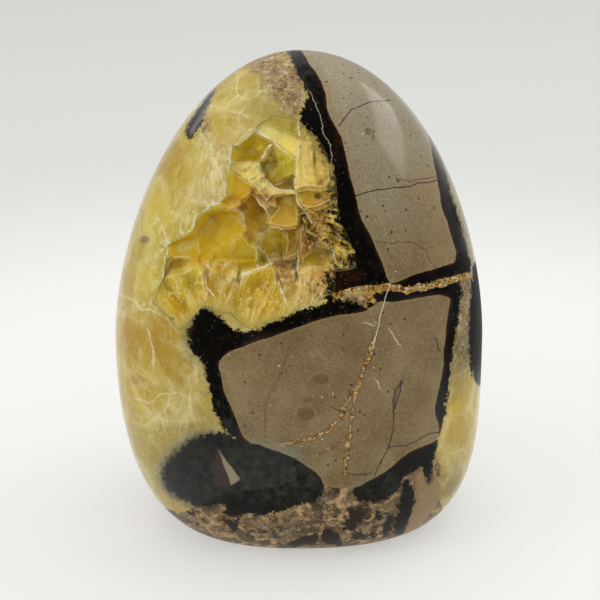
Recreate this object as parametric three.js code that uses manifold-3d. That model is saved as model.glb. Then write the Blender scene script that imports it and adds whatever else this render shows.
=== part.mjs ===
// Septarian nodule: a polished, free-standing egg of concretion rock, with a
// calcite-lined hollow broken open high on the left of its front.
// Millimetres, +Z up. The flat foot lies on Z = 0 with its middle at the
// origin, the broad front faces -Y and the hollow opens towards -Y.

import * as THREE from "three";
import { ConvexGeometry } from "three/addons/geometries/ConvexGeometry.js";
import { mergeVertices } from "three/addons/utils/BufferGeometryUtils.js";
import Module from "manifold-3d";

const wasm = await Module();
wasm.setup();

// ---------------------------------------------------------------- dimensions

const HEIGHT = 120; // foot to tip
const HALF_WIDTH = 45.5; // at the widest level
const WIDEST_Z = 48; // height of the widest level
const DEPTH_RATIO = 0.8; // depth over width
const SECTION_POWER = 2.3; // 2 is an ellipse, more is squarer
const FOOT_REACH = 1.08; // how far below the foot the lower curve would close, in widest levels
const FOOT_ROUND = 4.2; // power that tucks the lower curve in
const FOOT_EDGE_RADIUS = 2; // polished edge around the flat foot

// The left side is the slimmer one, so each side has powers of its own.
const LEFT = { tip: 1.9, shoulder: 1.7, belly: 2.3 };
const RIGHT = { tip: 2.05, shoulder: 1.8, belly: 3.8 };

// The hollow is a bowl that follows the skin, star-shaped about its middle.
const HOLLOW_X = -10;
const HOLLOW_Z = 84;
const HOLLOW_DEPTH = 19;
const CRUST_GAP = 0.3; // between the crust and the wall of the hollow
const CRUST_SINK = 0.35; // the crust stays this far under the polished skin
const CUTTER_REACH = 5; // how far the cutter stands out of the skin

// Broken rim of the hollow, as X and Z, anticlockwise from its lower left tip.
const RIM = [
  [-34.5, 65],
  [-31, 63.4],
  [-28.5, 60.8],
  [-25, 64],
  [-22.4, 67.5],
  [-16, 66.5],
  [-11.4, 63],
  [-2, 67],
  [5.2, 70],
  [8.2, 72],
  [8.7, 76.5],
  [13.3, 77.2],
  [13.8, 80.6],
  [9.6, 88.5],
  [8.2, 99.4],
  [4.3, 105.6],
  [-1, 109.4],
  [-5.3, 109.7],
  [-9.5, 108],
  [-10, 106.5],
  [-15.3, 103],
  [-16.5, 96],
  [-17, 92.5],
  [-23, 88],
  [-26, 83],
  [-30.5, 79.5],
  [-32, 72],
];

// Bowl of the hollow: share of the rim's radius at each depth under the skin.
const BOWL = [
  [0.99, 2],
  [0.965, 6],
  [0.92, 10],
  [0.82, 14],
  [0.6, 17],
  [0, HOLLOW_DEPTH],
];

// Broad crystals: X and Z of the middle, depth under the skin, reach, and the
// lean of the flat end against the skin, as depth gained for each mm right and up.
// Each one grew until it met its neighbours.
const CRYSTALS = [
  [-11.4, 101, 6.5, 5, 0, -0.35], // upper window, left pane
  [-7, 97, 7.5, 4, -0.1, -0.3], // upper window, middle pane
  [-2.5, 97, 7, 4.5, -0.45, -0.1], // upper window, right pane
  [-6.7, 106.5, 1.6, 4.5, 0, 0], // plate over the window
  [-2, 103.5, 1.8, 4, 0.1, 0],
  [1.2, 100.5, 3, 4, -0.2, 0], // tall panel beside the window
  [5.2, 100, 1.5, 4, -0.5, 0],
  [2.5, 91, 4, 4, -0.5, 0.1],
  [-12.8, 98, 3.5, 3, 0, 0.1], // pale web under the window
  [-8.5, 94.2, 4, 3, 0, 0.1],
  [-4, 91, 4.5, 3, -0.1, 0.2],
  [-14.2, 93, 7, 4, 0.2, 0],
  [-3.5, 87.5, 7, 4, -0.2, 0.2],
  [-9.6, 85.5, 12.5, 5, -0.3, -0.3], // deepest face
  [-18.3, 82, 9, 8, 0.35, 0.1], // largest face
  [-27.2, 78.2, 6.5, 5, 0.6, 0],
  [-28.3, 72.5, 8.5, 4, 0.2, -0.3],
  [-12.4, 76.7, 11, 4.5, 0, 0.3],
  [-8.2, 76.6, 12.5, 2.5, 0, 0],
  [-5.6, 80, 10.5, 4.5, -0.3, -0.1],
  [-1.3, 81.2, 9, 3.5, -0.4, 0],
  [-2.8, 75.4, 10.5, 3, -0.2, -0.3],
  [1.2, 86.2, 10, 2.5, -0.2, 0],
  [3, 83.3, 7, 3, -0.5, 0],
  [4, 78.4, 6, 4, -0.4, 0.2],
  [7.3, 87, 2.5, 4, -0.5, 0], // right wall
  [11, 80.5, 1.5, 3.5, -0.6, 0],
  [8.2, 80.5, 3, 3, -0.5, 0.2],
  [-9.5, 72, 3, 4.5, 0, 0.5], // lower ledge
  [-5.5, 71.4, 2.5, 4, 0.1, 0.6],
  [-13.5, 70, 2, 4, 0, 0.4],
  [-19.7, 72, 4, 4.5, 0.1, 0.5], // lower left slope
  [-25.6, 69.8, 3.5, 5, 0.2, 0.4],
  [-18, 68.3, 1.3, 3.5, 0, 0.3],
  [-23.6, 67.3, 1.3, 4, 0.1, 0.3],
  [-31.2, 68.2, 2, 4, 0.5, 0.2],
  [-30.4, 64, 1, 4, 0.2, 0.2],
  [0.5, 71.8, 4, 4, -0.1, 0.4], // fan beside the lower ledge
  [5.4, 73.7, 2.5, 4, -0.4, 0.3],
  [1, 69, 1.2, 4, 0, 0.3],
  [-16.4, 89.3, 5.5, 2, 0.1, 0.2],
];
const CRYSTAL_SPREAD = 16; // no crystal reaches further than this from its middle
const CRYSTAL_OVERLAP = 0.12; // neighbours grow into each other by this much
const CRYSTAL_BEVEL = 0.45; // worn edge around each flat end

// Small pointed crystals: X and Z of the tip, depth of the tip, half width,
// length, and how far the root lies right of and above the tip.
const POINTS = [
  [4.6, 93.5, 2.2, 1.4, 6, 2.4, 0.6],
  [5.2, 88.6, 3.4, 1.5, 6, 2.6, 0.4],
  [3.6, 86.4, 4.6, 1.2, 5, 2.6, -0.4],
  [6.6, 84.4, 3, 1.5, 6, 2.6, 0],
  [7.6, 81.8, 2.6, 1.3, 5, 2.2, -0.6],
  [5.6, 80.6, 3.8, 1.2, 5, 2.6, 0],
  [9.4, 82.8, 1.6, 1.3, 5, 1.8, 0.4],
  [10.4, 79.2, 1.4, 1.4, 5, 1.6, -0.6],
  [7.4, 78.4, 3, 1.3, 5, 1.6, -1.2],
  [1.2, 95.6, 2.4, 1.2, 6, 1.2, 1.4],
  [-1.2, 84.2, 6.4, 1.2, 5, 1.6, 0.4],
  [-15.8, 71.6, 3.4, 1.5, 6, -0.6, -2],
  [-22.6, 71.4, 3, 1.4, 6, -0.8, -2.2],
  [-7.4, 73.8, 2.2, 1.3, 6, 0, -2.4],
  [-3.2, 73.2, 2.6, 1.3, 6, 0.4, -2.2],
  [-28.4, 67.8, 2.2, 1.4, 5, -1.6, -1.2],
];

// Fineness of the facets.
const BODY_SEGMENTS = 60;
const UPPER_RINGS = 17;
const LOWER_RINGS = 9;
const EDGE_RINGS = 3;
const HOLLOW_SEGMENTS = 66;

// ------------------------------------------------------------ shape formulas

// Half width of one side of the egg at height z.
function halfWidth(side, z) {
  const above = THREE.MathUtils.clamp((z - WIDEST_Z) / (HEIGHT - WIDEST_Z), 0, 1);
  const below = Math.max(0, (WIDEST_Z - z) / (WIDEST_Z * FOOT_REACH));
  let reach = HALF_WIDTH * (1 - above ** side.shoulder) ** (1 / side.tip);
  if (z < WIDEST_Z) reach = HALF_WIDTH * (1 - below ** side.belly) ** (1 / FOOT_ROUND);
  if (z < FOOT_EDGE_RADIUS) {
    const rise = FOOT_EDGE_RADIUS - z;
    reach -= FOOT_EDGE_RADIUS - Math.sqrt(FOOT_EDGE_RADIUS ** 2 - rise ** 2);
  }
  return reach;
}

// Half depth of the egg at height z, the same at the front and the back.
function halfDepth(z) {
  return (DEPTH_RATIO * (halfWidth(LEFT, z) + halfWidth(RIGHT, z))) / 2;
}

// Distance from the upright axis to the skin, at an angle from +X towards +Y.
function skinRadius(angle, z) {
  const across = Math.cos(angle);
  const width = halfWidth(across < 0 ? LEFT : RIGHT, z);
  const depth = halfDepth(z);
  if (width <= 0 || depth <= 0) return 0;
  const x = Math.abs(across / width) ** SECTION_POWER;
  const y = Math.abs(Math.sin(angle) / depth) ** SECTION_POWER;
  return (x + y) ** (-1 / SECTION_POWER);
}

// Y of the front skin over a point given by X and Z.
function frontSkin(x, z) {
  const width = halfWidth(x < 0 ? LEFT : RIGHT, z);
  const share = Math.min(1, Math.abs(x) / width) ** SECTION_POWER;
  return -halfDepth(z) * (1 - share) ** (1 / SECTION_POWER);
}

// Slopes of the front skin to the right and upwards.
function skinSlopes(x, z) {
  const step = 0.2;
  return [
    (frontSkin(x + step, z) - frontSkin(x - step, z)) / (2 * step),
    (frontSkin(x, z + step) - frontSkin(x, z - step)) / (2 * step),
  ];
}

// Distance from the middle of the hollow to its rim, at an angle from +X towards +Z.
function rimRadius(angle) {
  const ray = new THREE.Vector2(Math.cos(angle), Math.sin(angle));
  let reach = 0;
  RIM.forEach(([x, z], i) => {
    const [nextX, nextZ] = RIM[(i + 1) % RIM.length];
    const start = new THREE.Vector2(x - HOLLOW_X, z - HOLLOW_Z);
    const edge = new THREE.Vector2(nextX - x, nextZ - z);
    const turn = ray.cross(edge);
    if (Math.abs(turn) < 1e-9) return;
    const along = start.cross(ray) / turn;
    const distance = start.cross(edge) / turn;
    if (along >= -1e-9 && along <= 1 + 1e-9 && distance > reach) reach = distance;
  });
  return reach;
}

// ------------------------------------------------------------ solid helpers

// Turns a closed geometry into a manifold solid.
function solid(geometry) {
  geometry.deleteAttribute("normal");
  geometry.deleteAttribute("uv");
  const merged = mergeVertices(geometry, 1e-5);
  const corners = [];
  for (let i = 0; i < merged.index.count; i += 3) {
    const a = merged.index.getX(i);
    const b = merged.index.getX(i + 1);
    const c = merged.index.getX(i + 2);
    if (a !== b && b !== c && c !== a) corners.push(a, b, c);
  }
  return new wasm.Manifold(
    new wasm.Mesh({
      numProp: 3,
      vertProperties: new Float32Array(merged.attributes.position.array),
      triVerts: new Uint32Array(corners),
    }),
  );
}

// Makes a named mesh of a manifold solid.
function meshOf(name, shape, material) {
  const { vertProperties, triVerts } = shape.getMesh();
  const geometry = new THREE.BufferGeometry();
  geometry.setAttribute("position", new THREE.BufferAttribute(vertProperties, 3));
  geometry.setIndex(new THREE.BufferAttribute(triVerts, 1));
  geometry.computeVertexNormals();
  const mesh = new THREE.Mesh(geometry, material);
  mesh.name = name;
  return mesh;
}

// Moves every vertex of a geometry to where the function says.
function reshape(geometry, place) {
  const positions = geometry.attributes.position;
  for (let i = 0; i < positions.count; i += 1) {
    const [x, y, z] = place(positions.getX(i), positions.getY(i), positions.getZ(i));
    positions.setXYZ(i, x, y, z);
  }
  return geometry;
}

// -------------------------------------------------------------------- body

// The egg: a lathe of unit radius whose rings are then drawn out to the skin.
function eggBody() {
  const profile = [new THREE.Vector2(0, 0)];
  for (let i = 0; i <= EDGE_RINGS; i += 1) {
    const turn = (i / EDGE_RINGS) * (Math.PI / 2);
    profile.push(new THREE.Vector2(1, FOOT_EDGE_RADIUS * (1 - Math.cos(turn))));
  }
  for (let i = 1; i <= LOWER_RINGS; i += 1) {
    const share = Math.sin((i / LOWER_RINGS) * (Math.PI / 2));
    profile.push(
      new THREE.Vector2(1, FOOT_EDGE_RADIUS + (WIDEST_Z - FOOT_EDGE_RADIUS) * share ** 1.4),
    );
  }
  for (let i = 1; i < UPPER_RINGS; i += 1) {
    const share = Math.sin((i / UPPER_RINGS) * (Math.PI / 2));
    profile.push(new THREE.Vector2(1, WIDEST_Z + (HEIGHT - WIDEST_Z) * share));
  }
  profile.push(new THREE.Vector2(0, HEIGHT));
  const lathe = new THREE.LatheGeometry(profile, BODY_SEGMENTS);
  lathe.rotateX(Math.PI / 2);
  return solid(
    reshape(lathe, (x, y, z) => {
      const angle = Math.atan2(y, x);
      const reach = Math.hypot(x, y) * skinRadius(angle, z);
      return [reach * Math.cos(angle), reach * Math.sin(angle), z];
    }),
  );
}

// ------------------------------------------------------------------ hollow

// A bowl that follows the skin: rings of [share of the rim's radius, depth],
// from the front to the back, drawn in by a clearance on every side.
function bowl(rings, clearance) {
  const profile = rings.map(([share, depth]) => new THREE.Vector2(share, depth));
  const lathe = new THREE.LatheGeometry(profile, HOLLOW_SEGMENTS);
  return solid(
    reshape(lathe, (x, y, z) => {
      const angle = Math.atan2(z, x);
      const share = Math.hypot(x, z);
      const reach = Math.max(0, share * rimRadius(angle) - (share > 0 ? clearance : 0));
      const placeX = HOLLOW_X + reach * Math.cos(angle);
      const placeZ = HOLLOW_Z + reach * Math.sin(angle);
      return [placeX, frontSkin(placeX, placeZ) + y, placeZ];
    }),
  );
}

function hollow() {
  return bowl([[0, -CUTTER_REACH], [1, -CUTTER_REACH], [1, 0], ...BOWL], 0);
}

// The room that the crust may fill: the hollow less the gap all round.
function crustRoom() {
  const mouth = [0, 0.35, 0.7, 1].map((share) => [share, CRUST_SINK]);
  const wall = BOWL.map(([share, depth]) => [share, depth - CRUST_GAP]);
  return bowl([...mouth, ...wall], CRUST_GAP);
}

// ---------------------------------------------------------------- crystals

// Keeps the part of a convex outline on the near side of a line.
function clip(outline, normal, limit) {
  const kept = [];
  outline.forEach((point, i) => {
    const next = outline[(i + 1) % outline.length];
    const here = normal.dot(point) - limit;
    const there = normal.dot(next) - limit;
    if (here <= 0) kept.push(point);
    if (here < 0 !== there < 0) kept.push(point.clone().lerp(next, here / (here - there)));
  });
  return kept;
}

// Outline of one broad crystal, in X and Z: all that lies nearer to its middle
// than to its neighbours', each weighed by its reach, and grown by a margin.
function crystalOutline(crystal, margin) {
  const [x, z, , reach] = crystal;
  const middle = new THREE.Vector2(x, z);
  let outline = [];
  for (let i = 0; i < 12; i += 1) {
    const turn = (i / 12) * 2 * Math.PI;
    outline.push(
      new THREE.Vector2(Math.cos(turn), Math.sin(turn)).multiplyScalar(CRYSTAL_SPREAD).add(middle),
    );
  }
  for (const other of CRYSTALS) {
    if (other === crystal) continue;
    const otherMiddle = new THREE.Vector2(other[0], other[1]);
    const normal = otherMiddle.clone().sub(middle);
    const weights = reach ** 2 - other[3] ** 2;
    const limit = (otherMiddle.lengthSq() - middle.lengthSq() + weights) / 2;
    outline = clip(outline, normal, limit + margin * normal.length());
  }
  return outline;
}

// One broad crystal: a column with a flat, leaning, bevelled end.
function crystalColumn(crystal) {
  const [x, z, depth, , leanRight, leanUp] = crystal;
  const [slopeRight, slopeUp] = skinSlopes(x, z);
  const endY = (point) =>
    frontSkin(x, z) +
    depth +
    (slopeRight + leanRight) * (point.x - x) +
    (slopeUp + leanUp) * (point.y - z);
  const points = [];
  for (const point of crystalOutline(crystal, CRYSTAL_OVERLAP - CRYSTAL_BEVEL)) {
    points.push(new THREE.Vector3(point.x, endY(point), point.y));
  }
  for (const point of crystalOutline(crystal, CRYSTAL_OVERLAP)) {
    points.push(new THREE.Vector3(point.x, endY(point) + CRYSTAL_BEVEL, point.y));
    points.push(new THREE.Vector3(point.x, endY(point) + HOLLOW_DEPTH * 2, point.y));
  }
  return solid(new ConvexGeometry(points));
}

// One small pointed crystal: a five-sided pyramid whose root is buried.
function crystalPoint([x, z, depth, halfBreadth, length, rootRight, rootUp]) {
  const tip = new THREE.Vector3(x, frontSkin(x, z) + depth, z);
  const points = [tip];
  for (let i = 0; i < 5; i += 1) {
    const turn = (i / 5) * 2 * Math.PI;
    points.push(
      new THREE.Vector3(
        x + rootRight + halfBreadth * Math.cos(turn),
        tip.y + length,
        z + rootUp + halfBreadth * Math.sin(turn),
      ),
    );
  }
  return solid(new ConvexGeometry(points));
}

function crystalCrust() {
  const crystals = [...CRYSTALS.map(crystalColumn), ...POINTS.map(crystalPoint)];
  const grown = crystals.reduce((joined, crystal) => joined.add(crystal));
  return grown.intersect(crustRoom());
}

// ---------------------------------------------------------------- assembly

const polishedRock = new THREE.MeshStandardMaterial({
  color: 0x8f8370,
  roughness: 0.2,
  metalness: 0,
});
const calcite = new THREE.MeshStandardMaterial({
  color: 0xb79a35,
  roughness: 0.35,
  metalness: 0,
});

const septarianNodule = new THREE.Group();
septarianNodule.add(meshOf("nodule", eggBody().subtract(hollow()), polishedRock));
septarianNodule.add(meshOf("calcite_crust", crystalCrust(), calcite));

export default septarianNodule;
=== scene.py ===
"""Septarian nodule: the dressed egg, its crust of calcite crystals, floor, lights and camera.

Shapes are worked out in millimetres in the part's own frame and turned into metres when a
mesh is made. The pattern of the rock is drawn once, as outlines on a plane that faces the
camera of the photograph (u to the right, w upwards), and as blocks in space for the back.
"""
import itertools
import math

import bpy
import numpy as np
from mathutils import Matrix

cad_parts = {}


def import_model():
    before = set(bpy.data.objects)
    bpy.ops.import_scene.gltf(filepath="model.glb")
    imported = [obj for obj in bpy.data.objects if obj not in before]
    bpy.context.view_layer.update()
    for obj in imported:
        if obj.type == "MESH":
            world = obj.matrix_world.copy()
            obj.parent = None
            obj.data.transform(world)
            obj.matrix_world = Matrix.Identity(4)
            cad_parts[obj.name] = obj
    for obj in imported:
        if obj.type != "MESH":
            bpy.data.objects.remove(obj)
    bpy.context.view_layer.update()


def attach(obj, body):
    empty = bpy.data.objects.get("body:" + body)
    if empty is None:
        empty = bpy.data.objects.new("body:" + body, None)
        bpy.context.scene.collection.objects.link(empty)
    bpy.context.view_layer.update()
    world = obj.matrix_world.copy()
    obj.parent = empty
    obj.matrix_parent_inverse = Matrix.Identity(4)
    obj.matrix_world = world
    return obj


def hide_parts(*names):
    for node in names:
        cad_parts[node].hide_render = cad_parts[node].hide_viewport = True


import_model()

METRE = 0.001  # one millimetre
NOWHERE = 1e9  # a distance that no place has
SLIVER = 1e-9  # least length that is divided by

# ------------------------------------------------------------------ the egg, as in the part

HEIGHT = 120
HALF_WIDTH = 45.5
TINY = 1e-6  # least width that is divided by, at the very tip
SLOPE_STEP = 0.2  # the slopes of the skin are taken over twice this
WIDEST_Z = 48
DEPTH_RATIO = 0.8
SECTION_POWER = 2.3
FOOT_REACH = 1.08
FOOT_ROUND = 4.2
FOOT_EDGE_RADIUS = 2
LEFT = {"tip": 1.9, "shoulder": 1.7, "belly": 2.3}
RIGHT = {"tip": 2.05, "shoulder": 1.8, "belly": 3.8}

HOLLOW_X = -10
HOLLOW_Z = 84
CUTTER_REACH = 5
RIM = [
    (-34.5, 65), (-31, 63.4), (-28.5, 60.8), (-25, 64), (-22.4, 67.5), (-16, 66.5), (-11.4, 63),
    (-2, 67), (5.2, 70), (8.2, 72), (8.7, 76.5), (13.3, 77.2), (13.8, 80.6), (9.6, 88.5),
    (8.2, 99.4), (4.3, 105.6), (-1, 109.4), (-5.3, 109.7), (-9.5, 108), (-10, 106.5),
    (-15.3, 103), (-16.5, 96), (-17, 92.5), (-23, 88), (-26, 83), (-30.5, 79.5), (-32, 72),
]
OPEN_RIM_MIDDLE = 152  # the left of the rim is a clear broken edge, from the middle, degrees
OPEN_RIM_REACH = 57
OPEN_RIM_FADE = 12
CHIP_RING = 24  # the chips of the rim come from noise along a ring of this radius
LARGEST_CHIP = 0.25
RIM_RISE = 0.9  # elsewhere the crystals lie no deeper than this for each mm from the rim
# Wall of the hollow: share of the rim's radius, and depth under the skin there.
BOWL = [(0.99, 2), (0.965, 6), (0.92, 10), (0.82, 14), (0.6, 17), (0, 19)]
RIM_GAP = 0.05  # between the crust and the rim
WALL_GAP = 0.1  # between the crust and the wall behind it
LEAST_CRUST = 0.25  # from the wall to the crystals

# Faces of the crystals in the hollow: outline in the plane of the pattern, depth under the
# skin, lean of the face to the right and up, kind of crystal, how it looks in the studio
# light, and how it looks towards one side, which lies at an angle from the right.
FACES = {
    "window left": (
        [(-15.9, 85), (-15.5, 87.9), (-14.1, 89.8), (-12.2, 91.3), (-10.5, 92.6), (-8, 91.8),
         (-5.6, 90.2), (-5.8, 88.6), (-7.4, 87.4), (-8.6, 85.6), (-9.5, 84.1), (-12.2, 84.2)],
        5, 0.05, -0.25, "clear", (198, 168, 34), (164, 136, 18), 50),
    "window middle": (
        [(-9.6, 83.6), (-8.6, 85.3), (-7.4, 87.2), (-5.8, 89), (-5.1, 88.3), (-5.1, 83.7),
         (-6.9, 82), (-8, 80.6), (-8.8, 82.1)],
        6.2, 0, -0.2, "clear", (116, 98, 2), (144, 124, 22), -60),
    "window right": (
        [(-5.2, 88.4), (-3.4, 87.8), (-1.6, 86.6), (0, 85.5), (-0.3, 82.6), (-0.9, 81.7),
         (-3, 80.9), (-4.7, 80.2), (-6.6, 79.8), (-7.9, 80.7), (-6.9, 82), (-5.1, 83.7)],
        5.4, -0.35, -0.05, "clear", (170, 144, 12), (248, 210, 96), 45),
    "window foot": (
        [(-7.9, 80.8), (-6.5, 79.9), (-4.7, 80.25), (-1.9, 81.4), (-0.9, 81.8), (-0.6, 79.9),
         (-0.9, 77.6), (-4.3, 77.5), (-6.4, 78.4)],
        5, -0.1, 0.35, "clear", (126, 96, 10), (112, 84, 10), -30),
    "plate": (
        [(-10.6, 92.2), (-9.6, 94), (-8.4, 93.9), (-4.7, 92), (-2, 90.9), (0.2, 90), (0, 84.9),
         (-1.9, 86.1), (-3.4, 87.3), (-4.9, 88.5), (-5.4, 89.6), (-6.7, 90.3), (-8.8, 91.2)],
        1.6, 0, 0.05, "pale", (228, 216, 170), (216, 194, 124), -40),
    "above the plate": (
        [(-12, 93.5), (-12, 96), (-8, 100), (-3, 101), (-0.6, 98), (0.4, 94.5), (0.2, 89.8),
         (-2, 90.8), (-4.7, 91.9), (-8.4, 93.8), (-10, 93.6)],
        0.9, 0, 0, "pale", (142, 130, 58), (190, 176, 112), 150),
    "panel": (
        [(0.2, 94.4), (1.5, 93.4), (4.2, 91.4), (6.2, 88), (7.4, 84), (8, 79), (5.9, 78),
         (3.5, 78.6), (1.5, 78.4), (-0.9, 77.6), (-1, 79.2), (-0.7, 82), (-0.2, 85), (0, 89.8)],
        1.6, -0.15, 0, "streaked", (228, 190, 130), (202, 170, 112), 20),
    "left web": (
        [(-15.9, 84.6), (-12.2, 84.3), (-9.6, 84.2), (-8.8, 82.2), (-7.9, 80.7), (-11.2, 79.1),
         (-12.9, 80.4), (-14.6, 81.6), (-15.9, 82.7)],
        3, 0.1, 0.1, "web", (214, 192, 116), (226, 202, 150), -45),
    "right web": (
        [(-11.4, 79.3), (-8.2, 81), (-7.3, 79.7), (-6, 78.5), (-4.3, 77.8), (-0.9, 77.9),
         (-0.6, 76.9), (-3.5, 77), (-6, 76.6), (-6.8, 75.6), (-7.6, 74.8), (-8.6, 75.8),
         (-10.1, 77.7)],
        3.8, 0, 0.15, "web", (236, 214, 160), (194, 150, 92), -100),
    "upper gold": (
        [(-16, 83), (-16.8, 81.6), (-17.2, 79.9), (-17, 77.7), (-16.6, 76), (-15.1, 75.4),
         (-13.3, 75.6), (-11.6, 76.8), (-10.2, 77.9), (-11.2, 79.3), (-12.9, 80.6),
         (-14.6, 81.8)],
        4.3, 0.3, 0, "clear", (220, 184, 68), (202, 156, 54), -60),
    "ridge": (
        [(-21.4, 74.4), (-20, 75.9), (-17.8, 76.7), (-15.6, 76), (-14.2, 74.8), (-14.4, 73.4),
         (-17.2, 74)],
        3.4, 0, 0, "clear", (232, 202, 84), (210, 158, 56), 0),
    "deep": (
        [(-9.9, 76.5), (-8.1, 74.6), (-6.9, 72.6), (-6.6, 71), (-7.5, 69), (-9.1, 66.4),
         (-9.7, 65), (-12, 65.4), (-13, 67.6), (-13.6, 72), (-14.8, 74.2), (-13.3, 75.8),
         (-11, 77.8)],
        8.4, 0, -0.2, "clear", (168, 128, 26), (104, 76, 2), 0),
    "large": (
        [(-23.6, 72.6), (-22, 74), (-20, 74.8), (-17.2, 74.2), (-14.9, 73.7), (-13.6, 73),
         (-13, 71.4), (-12.5, 69.2), (-13.2, 67.6), (-15, 66.8), (-15.4, 64.4), (-15, 61),
         (-18, 61.2), (-20.8, 61), (-24, 61.4), (-25.6, 62.1), (-30, 62), (-31.6, 61),
         (-31.4, 66), (-30, 67), (-27, 68), (-26, 69.2), (-25, 70.8)],
        6, 0.42, 0.05, "clear", (194, 156, 34), (202, 172, 50), -20),
    "dark corner": (
        [(-33, 57.7), (-31.2, 60.9), (-30.6, 62), (-27.6, 62.6), (-25.6, 62.4), (-23.8, 61.6),
         (-25.2, 60.4), (-27.4, 59.1), (-30, 58.7)],
        3.6, 0.15, -0.1, "clear", (196, 150, 14), (200, 156, 24), 0),
    "middle": (
        [(-15.6, 67), (-13, 68), (-11.6, 66), (-9.6, 65.2), (-9.8, 60.4), (-11.7, 59),
         (-13.9, 58), (-15.6, 60), (-16, 64)],
        8, 0.3, 0.05, "clear", (198, 164, 38), (180, 156, 34), 0),
    "lens": (
        [(-10, 65), (-9.3, 65.3), (-8.1, 63.8), (-7, 62.1), (-7.6, 60.4), (-9.6, 59.7)],
        9.4, 0, 0, "clear", (158, 144, 10), (112, 100, 2), 0),
    "six sided": (
        [(-9.2, 65.4), (-9.2, 66.8), (-8.1, 68.8), (-6.7, 69.6), (-4.9, 69.8), (-3.1, 68.8),
         (-2.5, 65.5), (-3, 62), (-5.3, 61.8), (-7, 61.9), (-8.1, 63.8)],
        8.8, -0.25, -0.1, "clear", (138, 116, 34), (144, 120, 34), 0),
    "beside it": (
        [(-3.1, 68.9), (-1.4, 69.6), (0, 69.4), (0.1, 66), (-0.2, 62.8), (-3, 62.2),
         (-2.5, 65.5)],
        7.6, -0.2, 0, "clear", (142, 108, 34), (110, 78, 8), 0),
    "above it": (
        [(-6.9, 72.4), (-5.3, 74), (-5.8, 76.8), (-3.3, 77.4), (-0.9, 77.6), (-0.2, 75),
         (0.2, 73), (0.2, 69.6), (-3.1, 69.2), (-6.7, 69.8), (-7.8, 70.4)],
        6.5, -0.2, 0, "clear", (146, 114, 38), (186, 150, 84), -75),
    "brown pocket": (
        [(-6.4, 61.6), (-4.5, 62.1), (-0.9, 62.7), (-0.3, 63.4), (-0.2, 58.9), (-2.5, 58.4),
         (-4.9, 59)],
        8.4, -0.2, -0.2, "rust", (120, 78, 8), (92, 56, 4), 0),
    "ledge": (
        [(-13.9, 57.4), (-13.3, 58.5), (-11.3, 59.1), (-9.7, 59.8), (-7.7, 60.4), (-6.3, 61),
         (-5.2, 59.6), (-4.8, 57.5), (-4, 54.5), (-2.4, 50.4), (-3, 48.5), (-6.9, 45.4),
         (-12.9, 46), (-16.5, 49), (-15.8, 51.5), (-14.9, 54.5)],
        2.6, 0, 0.45, "fibre", (188, 160, 56), (176, 142, 38), -90),
    "low left": (
        [(-35.4, 54.9), (-32.6, 57.7), (-30, 58.9), (-27.4, 59.3), (-25.2, 60.6), (-23.6, 60.9),
         (-22.2, 58.9), (-22, 56.9), (-21.4, 54), (-20.6, 51), (-24.8, 49), (-33.2, 46.8),
         (-36.5, 50.5)],
        1.1, 0.02, 0.12, "cloudy", (198, 174, 78), (184, 150, 50), -60),
    "low middle": (
        [(-22.4, 59.3), (-23.4, 61.2), (-19.6, 61.3), (-15.3, 61.3), (-14.1, 58.9),
         (-13.9, 57.3), (-14.9, 54.5), (-16, 52), (-16.5, 48), (-20.6, 49), (-21.4, 54),
         (-22, 56.9)],
        2.3, 0, 0.36, "cloudy", (160, 124, 14), (166, 134, 38), -80),
    "beside the fan": (
        [(-5.2, 59.7), (-4.5, 59.5), (-2.5, 58.9), (-0.6, 59), (-0.6, 56), (-0.8, 53),
         (-1.5, 51), (-2.6, 50.4), (-4, 54.5), (-4.8, 57.5)],
        3, 0, 0.2, "web", (144, 100, 46), (174, 146, 90), -70),
    "fan": (
        [(-0.5, 58.9), (0.3, 59.6), (2.5, 60.4), (5.1, 60.5), (6.6, 60.8), (8.6, 60),
         (9.2, 57.5), (8.6, 54.5), (5, 51.8), (2.5, 49.2), (-0.9, 47), (-2.6, 50.4),
         (-1.5, 51.5), (-0.6, 55)],
        2.2, -0.1, 0.3, "fan", (192, 160, 108), (176, 130, 78), -20),
    "under the panel": (
        [(-0.8, 77.8), (1.5, 78.5), (5.9, 78.2), (8, 78.2), (8, 75.5), (5, 74), (2, 73.5),
         (0.9, 73.6), (0, 74.6), (-0.5, 77)],
        2.8, -0.3, 0.2, "rough", (192, 162, 66), (162, 120, 40), -60),
    "dark pocket": (
        [(0, 74.2), (1.2, 73.7), (2.9, 71), (2.8, 69.2), (-0.1, 69.4)],
        6.5, -0.5, 0, "clear", (92, 70, 16), (70, 50, 8), 0),
    "rusty wall": (
        [(-0.1, 69.8), (2.8, 69.6), (3.3, 71), (4.6, 69.8), (5, 67), (4.6, 65), (3.4, 64.7),
         (1.5, 63.5), (0.4, 62.4), (-0.2, 63)],
        5.5, -0.5, 0, "rust", (130, 84, 20), (84, 48, 4), 0),
    "right olive": (
        [(0.3, 62.6), (1.5, 63.7), (3.4, 65), (5.9, 65.2), (7.1, 63.8), (8, 61.6), (6.6, 60.5),
         (5.1, 60.2), (2.5, 60), (0.3, 59.4)],
        4.4, -0.3, 0.15, "clear", (106, 82, 12), (160, 134, 58), -90),
    "thicket": (
        [(2.2, 73.2), (5, 74.2), (8, 75.6), (9.8, 73), (11.2, 70.5), (13, 68), (15, 65),
         (15, 62), (13.4, 60), (8.6, 60), (8, 61.6), (7.1, 63.9), (5.9, 65.3), (4.6, 65.2),
         (4.9, 67), (4.5, 69.9), (3.2, 71)],
        2.8, -0.4, 0, "thicket", (176, 132, 46), (206, 172, 96), -30),
}

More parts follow.
